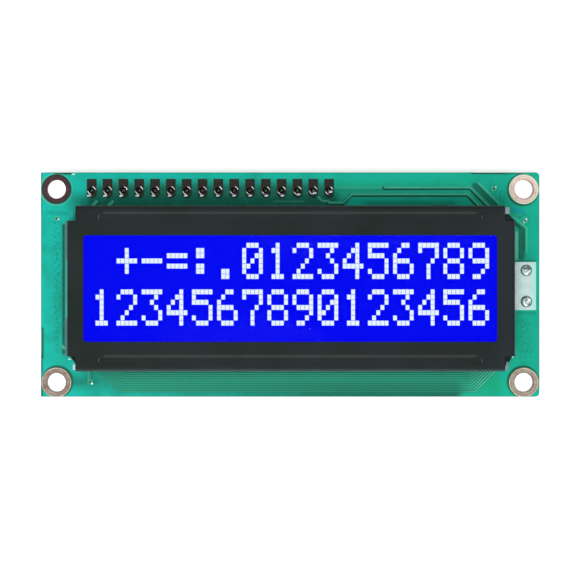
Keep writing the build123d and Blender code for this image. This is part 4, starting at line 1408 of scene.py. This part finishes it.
class DISPLAY_OT_stage(bpy.types.Operator):
    """Lay the floor and set the lamps and the camera"""

    bl_idname = "display.stage"
    bl_label = "Stage"

    def execute(self, context):
        settings = context.scene.display_stage
        clear_selection()
        bpy.ops.mesh.primitive_plane_add(size=settings.floor_size, location=(0, 0, 0))
        floor = context.active_object
        floor.name = "floor"
        floor.data.materials.append(floor_finish(settings))
        light_world(context.scene, settings.sky_light)
        bpy.ops.object.light_add(type="SUN", location=(-0.3, -0.2, 0.5))
        lamp = context.active_object
        lamp.name = "key_lamp"
        lamp.data.energy = settings.key_light
        lamp.data.angle = math.radians(22)
        lamp.rotation_euler = Vector((-0.1, -0.34, 1.0)).to_track_quat("Z", "Y").to_euler()
        for name, spot in (("left_lamp", (-0.42, -0.03, 0.26)), ("front_lamp", (0.02, -0.42, 0.24))):
            bpy.ops.object.light_add(type="AREA", location=spot)
            lamp = context.active_object
            lamp.name = name
            lamp.data.energy = settings.side_light
            lamp.data.size = 0.28
            lamp.rotation_euler = Vector(spot).to_track_quat("Z", "Y").to_euler()
        place_camera = (settings.camera_x, settings.camera_y, settings.camera_height)
        bpy.ops.object.camera_add(location=place_camera, rotation=(0, 0, 0))
        camera = context.active_object
        camera.name = "camera"
        camera.data.sensor_width = 36.0
        board_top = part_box("circuit_board")[1].z
        camera.data.lens = 36.0 * (settings.camera_height - board_top) / settings.view_width
        camera.data.clip_start = 0.01
        camera.data.clip_end = 20.0
        context.scene.camera = camera
        context.scene.view_settings.view_transform = "Standard"
        return {"FINISHED"}


# Panel and registration


OPERATORS = (
    DISPLAY_OT_board,
    DISPLAY_OT_rings,
    DISPLAY_OT_header,
    DISPLAY_OT_bezel,
    DISPLAY_OT_cell,
    DISPLAY_OT_backlight,
    DISPLAY_OT_back,
    DISPLAY_OT_stage,
)

SETTINGS = {
    "display_stage": StageSettings,
    "display_board": BoardSettings,
    "display_bezel": BezelSettings,
    "display_cell": DisplaySettings,
    "display_backlight": BacklightSettings,
    "display_back": BackSettings,
}


class VIEW3D_PT_display_module(bpy.types.Panel):
    """Sizes, colours and operators of the display module"""

    bl_label = "Display Module"
    bl_space_type = "VIEW_3D"
    bl_region_type = "UI"
    bl_category = "Display Module"

    def draw(self, context):
        for operator in OPERATORS:
            self.layout.operator(operator.bl_idname)
        for name, group in SETTINGS.items():
            settings = getattr(context.scene, name)
            box = self.layout.box()
            box.label(text=group.__doc__)
            for key in group.__annotations__:
                box.prop(settings, key)


CLASSES = (*SETTINGS.values(), *OPERATORS, VIEW3D_PT_display_module)


def register():
    for cls in CLASSES:
        bpy.utils.register_class(cls)
    for name, group in SETTINGS.items():
        setattr(bpy.types.Scene, name, bpy.props.PointerProperty(type=group))


def unregister():
    for name in SETTINGS:
        delattr(bpy.types.Scene, name)
    for cls in reversed(CLASSES):
        bpy.utils.unregister_class(cls)


def main():
    register()
    bpy.ops.display.board()
    bpy.ops.display.rings()
    bpy.ops.display.header()
    bpy.ops.display.bezel()
    bpy.ops.display.cell()
    bpy.ops.display.backlight()
    bpy.ops.display.back()
    bpy.ops.display.stage()


if __name__ == "__main__":
    main()
